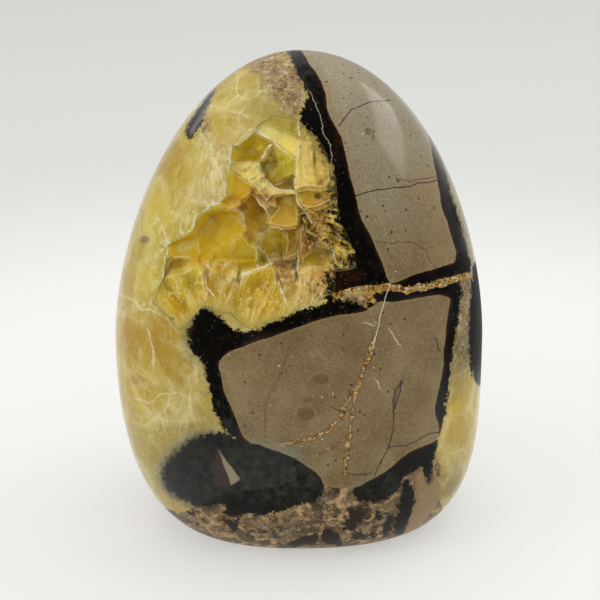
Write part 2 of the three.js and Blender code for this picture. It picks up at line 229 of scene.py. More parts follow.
# What each kind of crystal is like: how broken its face is, and its grain.
KINDS = {
    "clear": (0.04, 0.03), "pale": (0.05, 0.06), "cloudy": (0.06, 0.05), "fibre": (0.1, 0.1),
    "streaked": (0.1, 0.1), "fan": (0.1, 0.1), "web": (0.12, 0.14), "rough": (0.16, 0.14),
    "rust": (0.16, 0.16), "thicket": (0.3, 0.2),
}
WEAK_CLOUDS = ("streaked", "fan", "web", "pale", "rust")
FLECKED = ("cloudy", "web", "fan", "fibre")
# The studio light adds a pale veil to a crystal's own colour and dims it a little.
LIGHT_VEIL = (0, 4, 32)
LIGHT_GAIN = (0.86, 0.86, 0.84)

# Pale edges and cracks of the crystals: points, half width, strength.
THREADS = [
    ([(-15.9, 85.2), (-15.5, 87.9), (-14.1, 89.8), (-12.2, 91.3)], 0.12, 0.6),
    ([(-15.9, 84.7), (-12.2, 84.4), (-9.5, 84.3)], 0.14, 0.8),
    ([(-9.5, 84.2), (-8.6, 85.7), (-7.4, 87.6), (-6.1, 88.8)], 0.2, 0.95),
    ([(-9.6, 84), (-8.8, 82.2), (-7.7, 80.6), (-6.4, 79.2), (-4.6, 78.1), (-1.4, 78)], 0.14, 0.75),
    ([(-10.6, 92.1), (-8.8, 91.2), (-6.7, 90.2), (-5.5, 89.6), (-4.9, 88.5), (-3.4, 87.3),
      (-1.9, 86), (-0.5, 84.9)], 0.2, 0.95),
    ([(0.1, 94), (0, 89.8), (-0.2, 85), (-0.6, 82), (-0.9, 79.2), (-0.6, 77.2), (0, 74.5),
      (1.1, 73.6), (2, 72.4), (3.1, 70.6)], 0.2, 0.9),
    ([(-17, 74.2), (-14.9, 73.7), (-13.6, 73), (-13.1, 71.5), (-12.8, 69.8)], 0.16, 0.8),
    ([(-23.6, 72.4), (-22, 73.8), (-20, 74.7), (-17.2, 74.3)], 0.16, 0.6),
    ([(-9.7, 76), (-8.1, 74.2), (-7.1, 72.4)], 0.15, 0.8),
    ([(-9.9, 64.8), (-9.95, 62.5), (-9.6, 60.1)], 0.12, 0.75),
    ([(-9.5, 65), (-8.1, 63.8), (-7, 62.1), (-6.3, 61.3)], 0.12, 0.7),
    ([(-13.9, 57.6), (-13.3, 58.4), (-11.3, 59.1), (-9.7, 59.8), (-7.7, 60.4), (-6.3, 61.1)],
     0.3, 0.95),
    ([(-5, 58.5), (-4.6, 56.5), (-4.1, 54.5), (-2.9, 51.7)], 0.22, 0.95),
    ([(-9, 66.8), (-8.1, 68.6), (-6.7, 69.4), (-4.9, 69.6), (-3.1, 68.6)], 0.13, 0.55),
    ([(-2.6, 68), (-2.5, 65.5), (-3.2, 62.5)], 0.12, 0.5),
    ([(-6.9, 62.1), (-2.9, 62.6), (-0.6, 63.4)], 0.12, 0.5),
    ([(-21.8, 57.4), (-21.4, 55.2), (-20.1, 53.6)], 0.2, 0.8),
    ([(0.2, 59.2), (2, 57.7), (3.1, 56.2), (3.2, 53.5), (2.5, 50.4)], 0.12, 0.7),
    ([(5.5, 54.6), (4, 52.4), (2.4, 50.3)], 0.12, 0.7),
    ([(-0.3, 53.2), (1.2, 51.5), (2.3, 50.3)], 0.12, 0.7),
    ([(-0.2, 63), (-0.35, 60.5), (-0.4, 58.6)], 0.2, 0.9),
    ([(7, 66.4), (7.9, 64.2), (8.3, 61.8)], 0.12, 0.5),
    ([(-24.3, 70.5), (-24, 66.5), (-23.7, 64.2)], 0.14, 0.3),
    ([(-30.4, 62.3), (-27.6, 62.6), (-25.4, 62.5)], 0.12, 0.4),
    ([(-27.4, 61.2), (-27.4, 59.4)], 0.1, 0.3),
    ([(-29.8, 56.5), (-29.2, 54), (-27.5, 51.8)], 0.12, 0.35),
    ([(-8.5, 58.6), (-7.9, 56), (-6.4, 53)], 0.16, 0.35),
]
# Where the fibres of a kind of crystal spread from, which way, how broad and long they are,
# and how strongly they show.
FIBRES = {
    "cloudy": ((-22, 40), 100, 0.5, 6, 0.5),
    "fibre": ((-18, 33), 70, 0.38, 9, 0.6),
    "fan": ((0.5, 45), 90, 0.45, 6, 0.6),
    "streaked": ((0, 104), -80, 0.35, 9, 0.6),
    "thicket": ((-2, 72), -10, 0.3, 2.4, 1.0),
    "web": ((-3, 90), -120, 0.4, 2.5, 0.4),
}
# Soft patches in the hollow, in the plane of the pattern: u, w, reach across and up, strength.
DARK_PLACES = [
    (4.6, 76.7, 1.0, 0.8, 1.0), (6.8, 75, 0.9, 0.7, 1.1), (1.3, 72, 1.1, 1.6, 0.8),
    (2.5, 68.2, 0.7, 2, 1.1), (7.5, 64.2, 0.8, 1.9, 1.2), (8.8, 68.9, 1.1, 1.1, 1.0),
    (3.6, 85.6, 0.5, 3.4, 0.7), (5, 80.2, 0.9, 1.4, 0.4),
    (5.4, 66.3, 1.2, 0.5, 0.6), (-1, 60.4, 0.9, 1.1, 0.8), (-8.4, 62.6, 0.8, 2.2, 0.45),
    (6, 73.4, 1.2, 0.5, 0.7),
    (3.2, 64.9, 1.6, 0.6, 0.5), (5.2, 60.6, 1.6, 0.5, 0.6), (-6.4, 94.6, 1.8, 1.0, 0.6),
    (-1.4, 93.4, 0.8, 2.2, 0.8), (10.6, 71.2, 0.8, 0.9, 0.8),
]
BRIGHT_PLACES = [
    (-21, 69.5, 4, 3, 0.4), (-13.6, 63.4, 2.4, 2.2, 0.3), (-13.8, 85.6, 1.8, 1, 0.3),
    (-27.4, 64.4, 2.6, 1.4, 0.2), (13, 63.4, 1.4, 2.4, 1.2), (0.9, 87, 0.9, 5, 0.4),
    (-4, 90.4, 2.4, 1.4, 0.4), (-19, 51.5, 2, 1.6, 0.6), (-9, 60, 3, 0.8, 0.4),
]
RUSTY_PLACES = [
    (4.2, 67.6, 1.3, 2.6, 0.9), (0.1, 66, 0.4, 3, 1.0), (-2.9, 58.4, 1.4, 1, 1.1),
    (-13.2, 74.4, 1.4, 0.9, 1.1), (8.6, 59, 3.6, 0.7, 0.8), (-8.2, 76.6, 2, 1, 0.9),
    (-10.6, 78.1, 0.8, 0.6, 1.1), (3.2, 87.4, 0.8, 3.4, 0.4), (5, 72.2, 2.4, 0.7, 0.6),
    (-22, 58.6, 0.4, 1.2, 1.1), (-6.4, 75.4, 1.2, 1.4, 0.5),
]
SPIKE_FAN = ((-4, 75), 0.0, 0.36, 3)  # fibres of the crystals that point at the black seam
# The room in front of the crystals that the record names: across, up, and how far back.
OPEN_ROOM = ((-20, -4), (76.3, 83.5), -22.8)
ROOM_GAP = 0.05  # between it and the crystals
ROOM_LEAN = 0.01  # faces that meet the room stay apart by this share of their own Y
ROOM_FLARE = 3  # the crystals come forward again this much for each mm beside the room
EDGE_SLOPE = 0.6  # a face starts to fall to its deeper neighbour this far from its edge
SPIKES = 260
SPIKE_LEVELS = (70, 101)  # heights of their tips
SPIKE_INWARD = (0.4, 8.5)  # how far their tips lie inside the rim
SPIKE_BREADTH = (0.35, 0.9)
SPIKE_LENGTH = 3.2
SPIKE_REACH = 3.5  # how far from its tip one can be seen
SMALL_CRYSTALS = 420  # inside the named ones
SMALL_SPANS = ((-38, 18), (58, 113))  # where they are, across and up

# ------------------------------------------------------------------ fineness of the meshes

FRONT_SEGMENTS = 304
BACK_SEGMENTS = 108
FOOT_RINGS = 16
EDGE_RINGS = 6
LOWER_RINGS = 66
UPPER_RINGS = 122
LOWER_EASE = 1.25  # rings lie closer together near the foot
UPPER_EASE = 1.7  # and near the tip
RIM_SEGMENTS = 420
CRUST_SEGMENTS = 560
CRUST_RINGS = 150
CRUST_EASE = 0.85  # rings lie closer together near the rim
INNER_SHARE = 0.72  # share of the rings that are even
FLOOR_SEGMENTS = 96

# --------------------------------------------------------------------- camera and studio

CAMERA_TILT = math.radians(22)
CAMERA_PLACE = (0.0003, -0.5563, 0.2848)
CAMERA_LENS = 145.74
CAMERA_SHIFT = -0.0225

FLOOR_RADIUS = 4000
FLOOR_NEAR = (130, 290)  # the painted pool of light on the floor fades between these distances, first quickly
FLOOR_FAR = (250, 600)  # and then slowly
FLOOR_GLOW = 0.5  # painted glow that the floor gives itself, which lightens the shadows round the object

# Brightness of the studio round the object along an axis: from, to, and how bright at each.
WORLD_SLOPES = {"Z": (0.1, 0.8, 0.2, 0.7), "Y": (-0.3, 0.5, 0.0, 0.25)}
WORLD_COLOUR = (1, 1, 0.985, 1)
# Soft lights: name, place and target in metres, size across and up, power.
LIGHTS = [
    ("above", (0, 0.1, 1.1), (0, 0.05, 0), (1.2, 1.0), 3),
    ("left", (-0.8, -0.45, 0.7), (0, 0, 0.05), (0.7, 0.7), 3),
    ("right", (0.72, 0.2, 0.6), (0, 0, 0.08), (0.9, 0.3), 2.4),
]

# ------------------------------------------------------------------ the pattern of the rock

CORNER_CUT = 0.22  # share of each side that the rounding of its corners takes
EDGE_WOBBLE = 0.22  # how far noise moves the edges of the pattern
VEIN_WOBBLE = 0.35  # and, besides, the tan veins
OUTSIDE = 20  # taken from a field where it does not hold
FAR_OUTSIDE = 40  # the same, on the back, for what is drawn on the front alone

MATRIX_OUTLINES = {
    "upper": [
        (-0.7, 114.1), (3.6, 106.3), (6.4, 102.1), (6.8, 96), (9.4, 91.8), (11, 85.2),
        (13.3, 76.6), (14, 72.7), (16.6, 67.8), (19.2, 62), (19.9, 60.4), (21.1, 56.4),
        (22.5, 56.4), (26.8, 58.3), (33.2, 60), (38.3, 61.7), (36, 68.6), (33.8, 74.7),
        (32.7, 82.6), (31.7, 89), (31.1, 91.9), (30.9, 95.5), (33, 102), (40, 116), (4, 124),
    ],
    "lower": [
        (-18.7, 38.3), (-16.6, 40), (-10.7, 42.6), (-4.6, 44.7), (0.3, 46.4), (5.4, 48.2),
        (16.6, 50.1), (18.3, 52.2), (23.5, 52.2), (36.2, 54.3), (35.5, 48.8), (34.6, 41.4),
        (34.5, 34.7), (33.1, 28.4), (32.4, 25.5), (33.8, 22), (33.9, 18.5), (29.4, 17),
        (25.7, 15.4), (21.7, 11.8), (17.3, 9.4), (14, 7.2), (6.3, 7.5), (4.8, 11),
        (0.3, 13.8), (-1.6, 15.3), (-7.5, 17.4), (-12.5, 18.6), (-15.1, 24.7),
        (-17.6, 30.7), (-18.5, 35.2),
    ],
}

BLACK_OUTLINES = {
    "band above": [
        (-4.4, 116), (-2.8, 111.9), (-1.1, 107), (0.5, 103.5), (2.2, 100.1), (-0.2, 95.3),
        (1.5, 92), (4.5, 90.3), (5.4, 88), (8.7, 83.6), (8.4, 79.1), (7.7, 75.4),
        (8.7, 70.5), (10.2, 66), (12.4, 63), (12.4, 61), (12, 59.2), (8.9, 59.2),
        (8.4, 56.6), (8.7, 53.8), (15.2, 55.2), (21.1, 55.9), (22.4, 58), (21, 63),
        (16, 73), (12.5, 86), (8, 96), (7.6, 103), (2, 114), (1, 118),
    ],
    "band between": [
        (21, 57.4), (27, 59.3), (38.5, 62.6), (41.9, 62.6), (41.2, 59.8), (37.3, 57.9),
        (31, 56.2), (25.2, 55.3), (21.1, 55.9),
    ],
    "band under the seam": [
        (17.4, 53.8), (20.5, 54.7), (25.6, 56.2), (36.6, 56.6), (39.2, 56.4), (39, 53.5),
        (36.2, 53.4), (23.5, 51.2), (18.3, 51.2), (15.4, 50.2), (16.4, 52.2),
    ],
    "knob": [
        (-23.4, 50.5), (-20.8, 50.6), (-18.2, 48.5), (-14, 44.9), (-9.3, 46.1), (-4.6, 48.2),
        (0.3, 50.3), (9.4, 52.7), (14.1, 51.7), (15.9, 50.8), (17.5, 49.3), (5.4, 47),
        (-10.7, 41.4), (-17.6, 37.5), (-17.4, 35), (-16.5, 30.7), (-14, 24.7), (-11.4, 18.6),
        (-15.9, 19.8), (-17.3, 21), (-19.4, 25.3), (-20.8, 29), (-21.9, 33), (-21.9, 36.6),
        (-23.5, 38.7), (-25.9, 41.3), (-26.1, 44.9), (-24.8, 47.5),
    ],
    "blob": [
        (-18.2, 21.2), (-24.6, 19.9), (-28.3, 16.7), (-32.5, 12.5), (-33.4, 9.3), (-32, 6),
        (-28, 3.2), (-23.5, 1.9), (-20.5, 2.6), (-18.3, 3.5), (-17.7, 0.1), (-12.3, 0.3),
        (-6.2, 0.4), (-3.1, 1.7), (1.5, 3.7), (3.4, 3), (5.6, 5.3), (6.3, 8.5), (5.4, 11.6),
        (0.6, 14.6), (-1.6, 16.1), (-7.5, 18.2), (-11.4, 19.4), (-14.9, 20.2),
    ],
    "right band above": [
        (30, 95.5), (31.1, 94.6), (33.3, 91.4), (35.2, 84), (37.3, 76.1), (39.3, 69.4),
        (41.4, 62.5), (41.9, 59.1), (39.9, 57.1), (37.2, 57.1), (37.3, 61.7), (35, 68.6),
        (32.8, 74.7), (31.7, 82.6), (30.7, 89),
    ],
    "right band below": [
        (39.1, 56.4), (38.6, 49.7), (37.1, 43), (36.3, 32.9), (35.5, 26.1), (34.3, 20.9),
        (33.9, 18.5), (33, 21), (31.6, 25.5), (32.3, 28.4), (33.7, 34.7), (33.8, 41.4),
        (34.7, 48.8), (35.4, 55),
    ],
    "right edge": [
        (41.9, 59.6), (41.3, 54.7), (41, 48), (40.9, 38.5), (42.8, 32.7), (44.6, 30.3),
        (46.5, 34), (47, 52), (46, 64), (42.8, 62.1),
    ],
    "lower right": [
        (33.9, 18.9), (29.4, 17.8), (25.2, 16), (21.2, 12.4), (17, 10.1), (13.6, 7.9),
        (12.6, 5.7), (15, 3.9), (18.7, 3.5), (21.8, 4.7), (24, 6.9), (25.9, 9.9),
        (28.1, 11.3), (29.8, 12.2), (31.5, 6.7), (32.6, 10.8), (33, 14.5), (33.8, 17),
    ],
    "sliver": [
        (25.9, 9.9), (28.2, 6.4), (28.3, 3), (26.4, -3.7), (25.3, -5.7), (23, -5.7),
        (23.9, 1.7), (25, 7.1),
    ],
    "lens": [(-19.1, 103.6), (-22, 101.5), (-27.9, 93), (-26, 89.8), (-23.3, 92.8), (-22.2, 97)],
}

FRAGMENT_OUTLINES = [
    [(-3.4, -7.8), (-1.8, -6), (0.3, -5.2), (4.7, -3.9), (4.9, -7.1), (0.3, -8)],
    [(4.9, -4.7), (7.1, -2.5), (9.6, -4.7), (10.4, -8.3), (5.6, -7.3)],
    [(10.5, -3.1), (12.4, 1.8), (15.3, 2), (16.4, 0.5), (13, -4.3)],
    [(12.7, -4.5), (16.7, -4.1), (16.6, -6.1), (13, -6.8)],
    [(17.6, -3.1), (19.1, -3.4), (19.1, -7.3), (17.8, -6.8)],
    [(18.5, 1.2), (20.4, 1.1), (19.5, -1.5)],
    [(21, 0), (23.4, 1), (23, -5.7), (20.5, -6.4)],
    [(-18.7, -1), (-16.4, -0.6), (-14.3, -1.1), (-14.9, -3.6), (-16.3, -4.5)],
]

BLOB_WINDOW = [(-19.3, 17.3), (-14.1, 9.4), (-16.3, 7.9)]
BLOB_BROWN = [(-19.3, 17.6), (-16.4, 7.9), (-20.6, 7.6), (-20.2, 13)]

BRECCIA_OUTLINE = [
    (-38, 1), (-34.3, 0.6), (-29, 0), (-25, 2), (-18.3, 6), (-10, 7), (-4, 8), (0, 10),
    (-2, 15), (4, 15.5), (7.7, 12.4), (11.1, 11.5), (14, 10), (17, 12), (21.7, 13.5),
    (25.7, 17), (29.4, 18), (33, 18), (33.3, 14), (34.7, 10.9), (34.5, 2), (41, -6),
    (41, -20), (-40, -20), (-38, -6),
]
PINK_OUTLINE = [
    (28.1, 10.3), (30.3, 11.2), (32, 5.9), (33.9, 10.9), (35, 3.7), (32.8, -0.4), (28, -5),
    (25.8, -4.2), (28, 2.6), (28.2, 6.4),
]

# Tan seams and veins: points, half width.
TAN_LINES = [
    ([(8.7, 53.6), (15.2, 55.3), (21.1, 55.6), (25.2, 54.8), (31, 55.9), (37.2, 57.4),
      (41.4, 58.6)], 0.75),
    ([(15.2, 54.3), (16.4, 53.4), (17.6, 52)], 0.7),
    ([(17.8, 43.9), (17.4, 42.3), (15.8, 36.7), (14.2, 32.6), (12.6, 30.5)], 0.4),
    ([(12.6, 30.5), (11.4, 28.6), (10.2, 25), (7.2, 21.6), (3.6, 19.7), (0.3, 18.7),
      (-3.7, 18.2)], 0.36),
    ([(13.5, 31), (12.4, 23.3), (11.7, 19.1), (11.5, 15.7), (11.1, 10.7)], 0.34),
    ([(10.5, 19.6), (7.4, 17.2), (4.6, 15.5)], 0.24),
]

# Fine lines: dark, rusty, pale and white cracks, pale veins in the calcite, and the painted
# highlight streak along the black lens.
LINES = {
    "dark": [
        [(9.6, 93.4), (12.5, 96.8), (16.3, 98.9), (21.4, 99.8)],
        [(12.4, 76.4), (16.6, 77.8), (21.3, 78.6), (26.1, 79.2), (32.6, 80.9)],
        [(24.4, 33.7), (22.9, 31.4), (22.5, 28), (22.6, 24.8), (22, 18.9), (21.3, 17.2), (18.1, 10.4)],
        [(24.6, 33.4), (23.9, 31.4), (23.4, 28.6), (22.7, 25.4)],
        [(21.6, 17.5), (25.9, 17.6), (31.1, 20.1), (34.1, 20.5)],
        [(11.5, 10.9), (14.6, 10.6), (17.2, 11)],
        [(32.3, 43.3), (33.4, 40.5)],
        [(8.4, 27.1), (10, 26.2)],
    ],
    "rust": [
        [(23.7, 80.9), (26.1, 80.2), (32.6, 81.9)],
        [(18.5, 65.9), (26.5, 66), (29.9, 64.2), (31.2, 60.9)],
        [(-2.3, 41.9), (-4.2, 35.3), (-7.7, 28.4), (-8.2, 25.2), (-8, 21.3)],
    ],
    "pale": [
        [(15.2, 82.7), (16.8, 77.1), (19.9, 69.5), (21.5, 64.1)],
        [(11, 90), (11.6, 94), (13.5, 97.5)],
        [(2.6, 101), (5, 96), (5.6, 91.5), (7.4, 88.8), (7.6, 84.6)],
    ],
    "white": [
        [(21.4, 56), (20.9, 54.8), (19.2, 49.4), (17.8, 43.9), (17.3, 41)],
        [(21.5, 45.2), (23.4, 42.1)],
        [(15.9, 47.2), (16.9, 46.9)],
        [(18.3, 33.2), (19, 32)],
    ],
    "vein": [
        [(-15.7, 84.3), (-18.4, 86.5), (-20.5, 88.2), (-22.2, 90.1), (-22.9, 93.2)],
        [(-16, 84.8), (-15.7, 87.7), (-13.3, 90.3), (-10.7, 92.7)],
        [(-33.5, 71.6), (-32, 69.1), (-31, 66.5)],
        [(-44, 53.8), (-42.7, 53.3), (-39.4, 52.4), (-37.2, 50), (-35.1, 50.3), (-31.5, 48.2),
         (-28.9, 45.7)],
        [(-36, 45.2), (-34.8, 40.7), (-34.6, 36.6)],
        [(-39.6, 22.3), (-37.5, 21.4), (-34.8, 23.9), (-35.1, 27.2), (-39.4, 28.5)],
        [(-35.1, 27.2), (-33.5, 29.7), (-29.8, 30.2)],
        [(-30.8, 30), (-31.7, 26.4), (-34.8, 23.5)],
    ],
    "sheen": [[(-25.2, 92.4), (-22.4, 97.6), (-20.2, 101.2)]],
}

# Dark spots: u, w, reach across, reach up.
SPOTS = [
    (5.2, 33.9, 2.2, 1.2), (2.2, 28.9, 1.4, 0.6), (1.7, 25.5, 2.1, 1.5), (16.2, 91.9, 0.9, 1.0),
    (15.2, 93.3, 0.4, 0.5), (17.4, 90.6, 0.4, 0.9), (-36.8, 66.9, 1.3, 0.9),
]

# Soft patches of the pattern: u, w, reach across, reach up, strength.
PATCHES = {
    "amber": [
        (-33, 42, 4.5, 8, 1.0), (-41, 43.5, 4.5, 8, 1.0), (-26, 34, 5, 4, 0.3),
        (-42, 60, 4, 14, 0.4), (-12, 104, 8, 6, 0.35), (-34, 85, 4, 8, 0.3),
        (-23, 78, 5, 5, 0.25), (-12, 92, 6, 5, 0.2), (42, 20, 6, 10, 0.6),
    ],
    "lemon": [
        (-33, 70, 7, 10, 0.9), (-37, 58, 6, 8, 0.8), (-15, 99, 6, 5, 0.25),
    ],
    "olive": [
        (-5, 98, 7, 4, 1.1), (-11, 101, 9, 6, 0.6), (-24, 28, 6, 9, 0.5),
        (-31, 17, 5, 7, 0.55), (-37, 8, 6, 8, 0.9), (-39, 19, 5, 5, 0.7),
        (38, 8, 5, 9, 0.9), (40, 44, 3, 9, 0.7), (-26, 96, 5, 4, 0.2), (-4, 106, 5, 6, 0.3),
    ],
    "shade": [
        (39.5, 48, 4, 12, 2.0), (37, 84, 4, 12, 1.0), (42, 70, 4, 9, 1.0), (38, 6, 5, 6, 0.5),
        (-21, 51, 6, 3, 0.35), (-26, 22, 8, 4, 0.25),
    ],
    "white": [
        (-19.5, 83, 4.5, 6.5, 0.9), (-22.6, 94, 1.6, 6, 0.9), (-37, 51.5, 6, 1.6, 0.7),
        (-9, 45.4, 9, 2.2, 0.9), (3, 51, 6, 1.6, 0.8), (-25, 35, 3, 5, 0.5),
        (-33, 23, 7, 3, 0.5), (-28, 76, 3, 4, 0.5), (-34, 69, 2, 4, 0.4),
    ],
    "red": [(11.2, 57.6, 3, 2.4, 1), (9.6, 90, 1.4, 4, 0.6), (-8, 43.9, 3, 1, 0.5)],
    # Grey mottling on the black, partly its own and partly a painted reflection of the floor.
    "grey": [
        (1.5, 108, 4, 7, 1.0), (-15, 10, 15, 8, 1.0), (-1, 9, 7, 6, 1.0), (-17.5, 25, 3, 6, 1.0),
        (21, 8, 6, 4, 1.0),
    ],
    "speckle": [
        (-5, 108, 6.5, 7, 1.3), (-1.6, 99, 3.5, 5, 1.0), (-22.5, 103.5, 4, 3, 0.8),
        (-17, 110, 9, 3, 0.3), (38.8, 50, 2.4, 8, 0.9), (-24, 0.5, 7, 3, 0.6),
        (-22.4, 95, 2.4, 6, 0.75), (13, 52.4, 4, 1.8, 1.2),
    ],
    "cells": [
        (-12, 101, 12, 7, 0.6), (-21, 88, 6, 8, 0.4),
        (-31, 28, 9, 12, 1.0), (-25, 45, 8, 10, 0.5), (-12, 90, 10, 10, 0.5),
        (41, 20, 8, 14, 0.6), (-38, 52, 9, 5, 0.5),
    ],
    "fringe": [
        (-26, 17, 10, 7, 1.0), (-32, 9, 5, 9, 1.0), (-24, 44, 6, 9, 0.6), (-1, 17, 9, 5, 1.0),
        (19, 6, 9, 5, 0.8), (-22, 3, 8, 4, 0.6),
    ],
    "dull": [
        (-20, 44, 6, 8, 1.5), (-18, 30, 6, 10, 1.5), (0, 48, 16, 5, 1.5), (12, 60, 7, 8, 1.5),
        (8, 80, 8, 16, 1.5), (3, 98, 8, 12, 1.5), (30, 58, 14, 5, 1.2), (37, 40, 4, 16, 1.0),
        (44, 46, 5, 18, 1.2), (38, 76, 4, 14, 1.0),
    ],
    "warm": [
        (8, 92, 3, 14, 0.8), (12, 74, 3, 9, 0.7), (32, 72, 3, 9, 0.9), (-12, 38, 10, 6, 0.5),
        (26, 62, 14, 4, 0.4), (12, 33, 8, 12, 0.3), (28, 79, 4, 4, 0.7),
    ],
}

# Blocks of rock round the back: middle of each, in space. The empty ones are open seams.
BLOCKS = [
    (24, 36, 92), (-20, 34, 86), (3, 44, 52), (-34, 26, 38), (40, 20, 52), (32, 32, 18),
    (-12, 38, 14),
]
OPEN_BLOCKS = [(-46, 2, 66), (2, 30, 122), (-36, -8, 10), (44, -6, 26), (-8, 10, 118)]
BLOCK_WOBBLE = 2.6  # how far noise moves their edges
SEAM_WIDTH = 9.0  # from block to block
BLACK_RIM = 3.6  # along each block
BLACK_BESIDE = 1.6  # the black seam comes this close round the right of the hollow
BLACK_SIDE = 12  # which lies at this angle from its middle
BROKEN_SIDE = 172  # the polish has a broken edge along the hollow on this side
BROKEN_FADE = (0.55, 0.85)  # and it fades out between these turns either way, in radians
# The round shape that tells the front of the egg from its back: middle and half axes.
BACK_MIDDLE = (0, 0, 50)
BACK_AXES = (45.5, 36.4, 66)


# ------------------------------------------------------------------------------ numbers

def smooth_share(value, low, high):
    """0 below low, 1 above high, and a smooth step between."""
    share = np.clip((value - low) / (high - low), 0, 1)
    return share * share * (3 - 2 * share)


def half_width(side, z):
    """Half width of one side of the egg at height z."""
    above = np.clip((z - WIDEST_Z) / (HEIGHT - WIDEST_Z), 0, 1)
    below = np.maximum(0, (WIDEST_Z - z) / (WIDEST_Z * FOOT_REACH))
    upper = HALF_WIDTH * (1 - above ** side["shoulder"]) ** (1 / side["tip"])
    lower = HALF_WIDTH * (1 - np.minimum(below, 1) ** side["belly"]) ** (1 / FOOT_ROUND)
    reach = np.where(z < WIDEST_Z, lower, upper)
    rise = np.clip(FOOT_EDGE_RADIUS - z, 0, FOOT_EDGE_RADIUS)
    return reach - (FOOT_EDGE_RADIUS - np.sqrt(FOOT_EDGE_RADIUS ** 2 - rise ** 2))


def half_depth(z):
    """Half depth of the egg at height z."""
    return DEPTH_RATIO * (half_width(LEFT, z) + half_width(RIGHT, z)) / 2


def width_beside(across, z):
    """Half width of the egg on the side that a place lies on, never nothing."""
    return np.maximum(np.where(across < 0, half_width(LEFT, z), half_width(RIGHT, z)), TINY)


def skin_radius(angle, z):
    """Distance from the upright axis to the skin, at an angle from +X towards +Y."""
    across = np.cos(angle)
    depth = np.maximum(half_depth(z), TINY)
    x = np.abs(across / width_beside(across, z)) ** SECTION_POWER
    y = np.abs(np.sin(angle) / depth) ** SECTION_POWER
    return (x + y) ** (-1 / SECTION_POWER)


def front_skin(x, z):
    """Y of the front skin over x and z."""
    share = np.minimum(1, np.abs(x) / width_beside(x, z)) ** SECTION_POWER
    return -half_depth(z) * (1 - share) ** (1 / SECTION_POWER)


def skin_at(x, z):
    """Y of the front skin at one place."""
    return float(front_skin(np.array([x]), np.array([z]))[0])


def skin_slopes(x, z):
    """Slopes of the front skin to the right and upwards at one place."""
    right = (skin_at(x + SLOPE_STEP, z) - skin_at(x - SLOPE_STEP, z)) / (2 * SLOPE_STEP)
    up = (skin_at(x, z + SLOPE_STEP) - skin_at(x, z - SLOPE_STEP)) / (2 * SLOPE_STEP)
    return right, up


def rim_radius(angle):
    """Distance from the middle of the hollow to its rim, at an angle from +X towards +Z."""
    ray = np.stack([np.cos(angle), np.sin(angle)], axis=-1)
    reach = np.zeros(len(angle))
    corners = np.array(RIM, float) - (HOLLOW_X, HOLLOW_Z)
    for start, end in zip(corners, np.roll(corners, -1, axis=0)):
        edge = end - start
        turn = ray[:, 0] * edge[1] - ray[:, 1] * edge[0]
        turn = np.where(np.abs(turn) < SLIVER, SLIVER, turn)
        along = (start[0] * ray[:, 1] - start[1] * ray[:, 0]) / turn
        distance = (start[0] * edge[1] - start[1] * edge[0]) / turn
        hit = (along >= -SLIVER) & (along <= 1 + SLIVER) & (distance > reach)
        reach = np.where(hit, distance, reach)
    return reach


def round_middle(x, z):
    """Angle from +X towards +Z round the middle of the hollow, and distance from it."""
    return np.arctan2(z - HOLLOW_Z, x - HOLLOW_X), np.hypot(x - HOLLOW_X, z - HOLLOW_Z)


def turned_away(angle, middle):
    """How far an angle has turned away from a middle in degrees, either way."""
    return np.abs(np.angle(np.exp(1j * (angle - math.radians(middle)))))


def lattice_noise(points, size, seed):
    """Smooth noise between -1 and 1 over points in a plane or in space, with lumps of a size."""
    table = np.random.default_rng(seed).uniform(-1, 1, 4096)
    place = points / size
    cell = np.floor(place).astype(np.int64)
    part = place - cell
    part = part * part * (3 - 2 * part)
    total = np.zeros(len(points))
    for corner in itertools.product((0, 1), repeat=points.shape[1]):
        key = np.zeros(len(points), np.int64)
        weight = np.ones(len(points))
        for axis, step in enumerate(corner):
            key ^= (cell[:, axis] + step) * (73856093, 19349663, 83492791)[axis]
            weight *= part[:, axis] if step else 1 - part[:, axis]
        total += table[key % 4096] * weight
    return total


def layered_noise(points, size, seed, layers=3):
    """Noise with finer and weaker layers on top of each other."""
    total = 0
    for layer in range(layers):
        total = total + lattice_noise(points, size / 2 ** layer, seed + layer) / 2 ** layer
    return total / 1.6


def noise_columns(points, size, seeds, layers=3):
    """One column of layered noise for each seed, to move places about."""
    return np.stack([layered_noise(points, size, seed, layers) for seed in seeds], axis=1)


def patch_sum(place, patches):
    """Soft patches in the plane of the pattern, added up."""
    total = np.zeros(len(place))
    for u, w, across, up, strength in patches:
        away = ((place[:, 0] - u) / across) ** 2 + ((place[:, 1] - w) / up) ** 2
        total += strength * np.exp(-away)
    return total


def rounded(outline):
    """Cuts the corners of a closed outline."""
    corners = np.array(outline, float)
    following = np.roll(corners, -1, axis=0)
    pairs = [corners * (1 - CORNER_CUT) + following * CORNER_CUT,
             corners * CORNER_CUT + following * (1 - CORNER_CUT)]
    return np.stack(pairs, axis=1).reshape(-1, 2)


def edge_gap(points, start, end):
    """Distance of each point from an edge, the edge, and the way to each point from its start."""
    edge = end - start
    offset = points - start
    share = np.clip((offset @ edge) / (edge @ edge), 0, 1)
    gap = offset - share[:, None] * edge
    return np.hypot(gap[:, 0], gap[:, 1]), edge, offset


def outline_distance(points, outline):
    """Distance from each point to the edge of an outline, positive inside."""
    nearest = np.full(len(points), NOWHERE)
    inside = np.zeros(len(points), bool)
    outline = np.asarray(outline, float)
    for start, end in zip(outline, np.roll(outline, -1, axis=0)):
        distance, edge, offset = edge_gap(points, start, end)
        nearest = np.minimum(nearest, distance)
        crosses = (start[1] > points[:, 1]) != (end[1] > points[:, 1])
        rise = edge[1] if abs(edge[1]) > SLIVER else SLIVER
        side = start[0] + offset[:, 1] * edge[0] / rise
        inside ^= crosses & (points[:, 0] < side)
    return np.where(inside, nearest, -nearest)


def joined(points, outlines):
    """Distance to the edge of several rounded outlines taken as one, positive inside."""
    return np.max([outline_distance(points, rounded(outline)) for outline in outlines], axis=0)


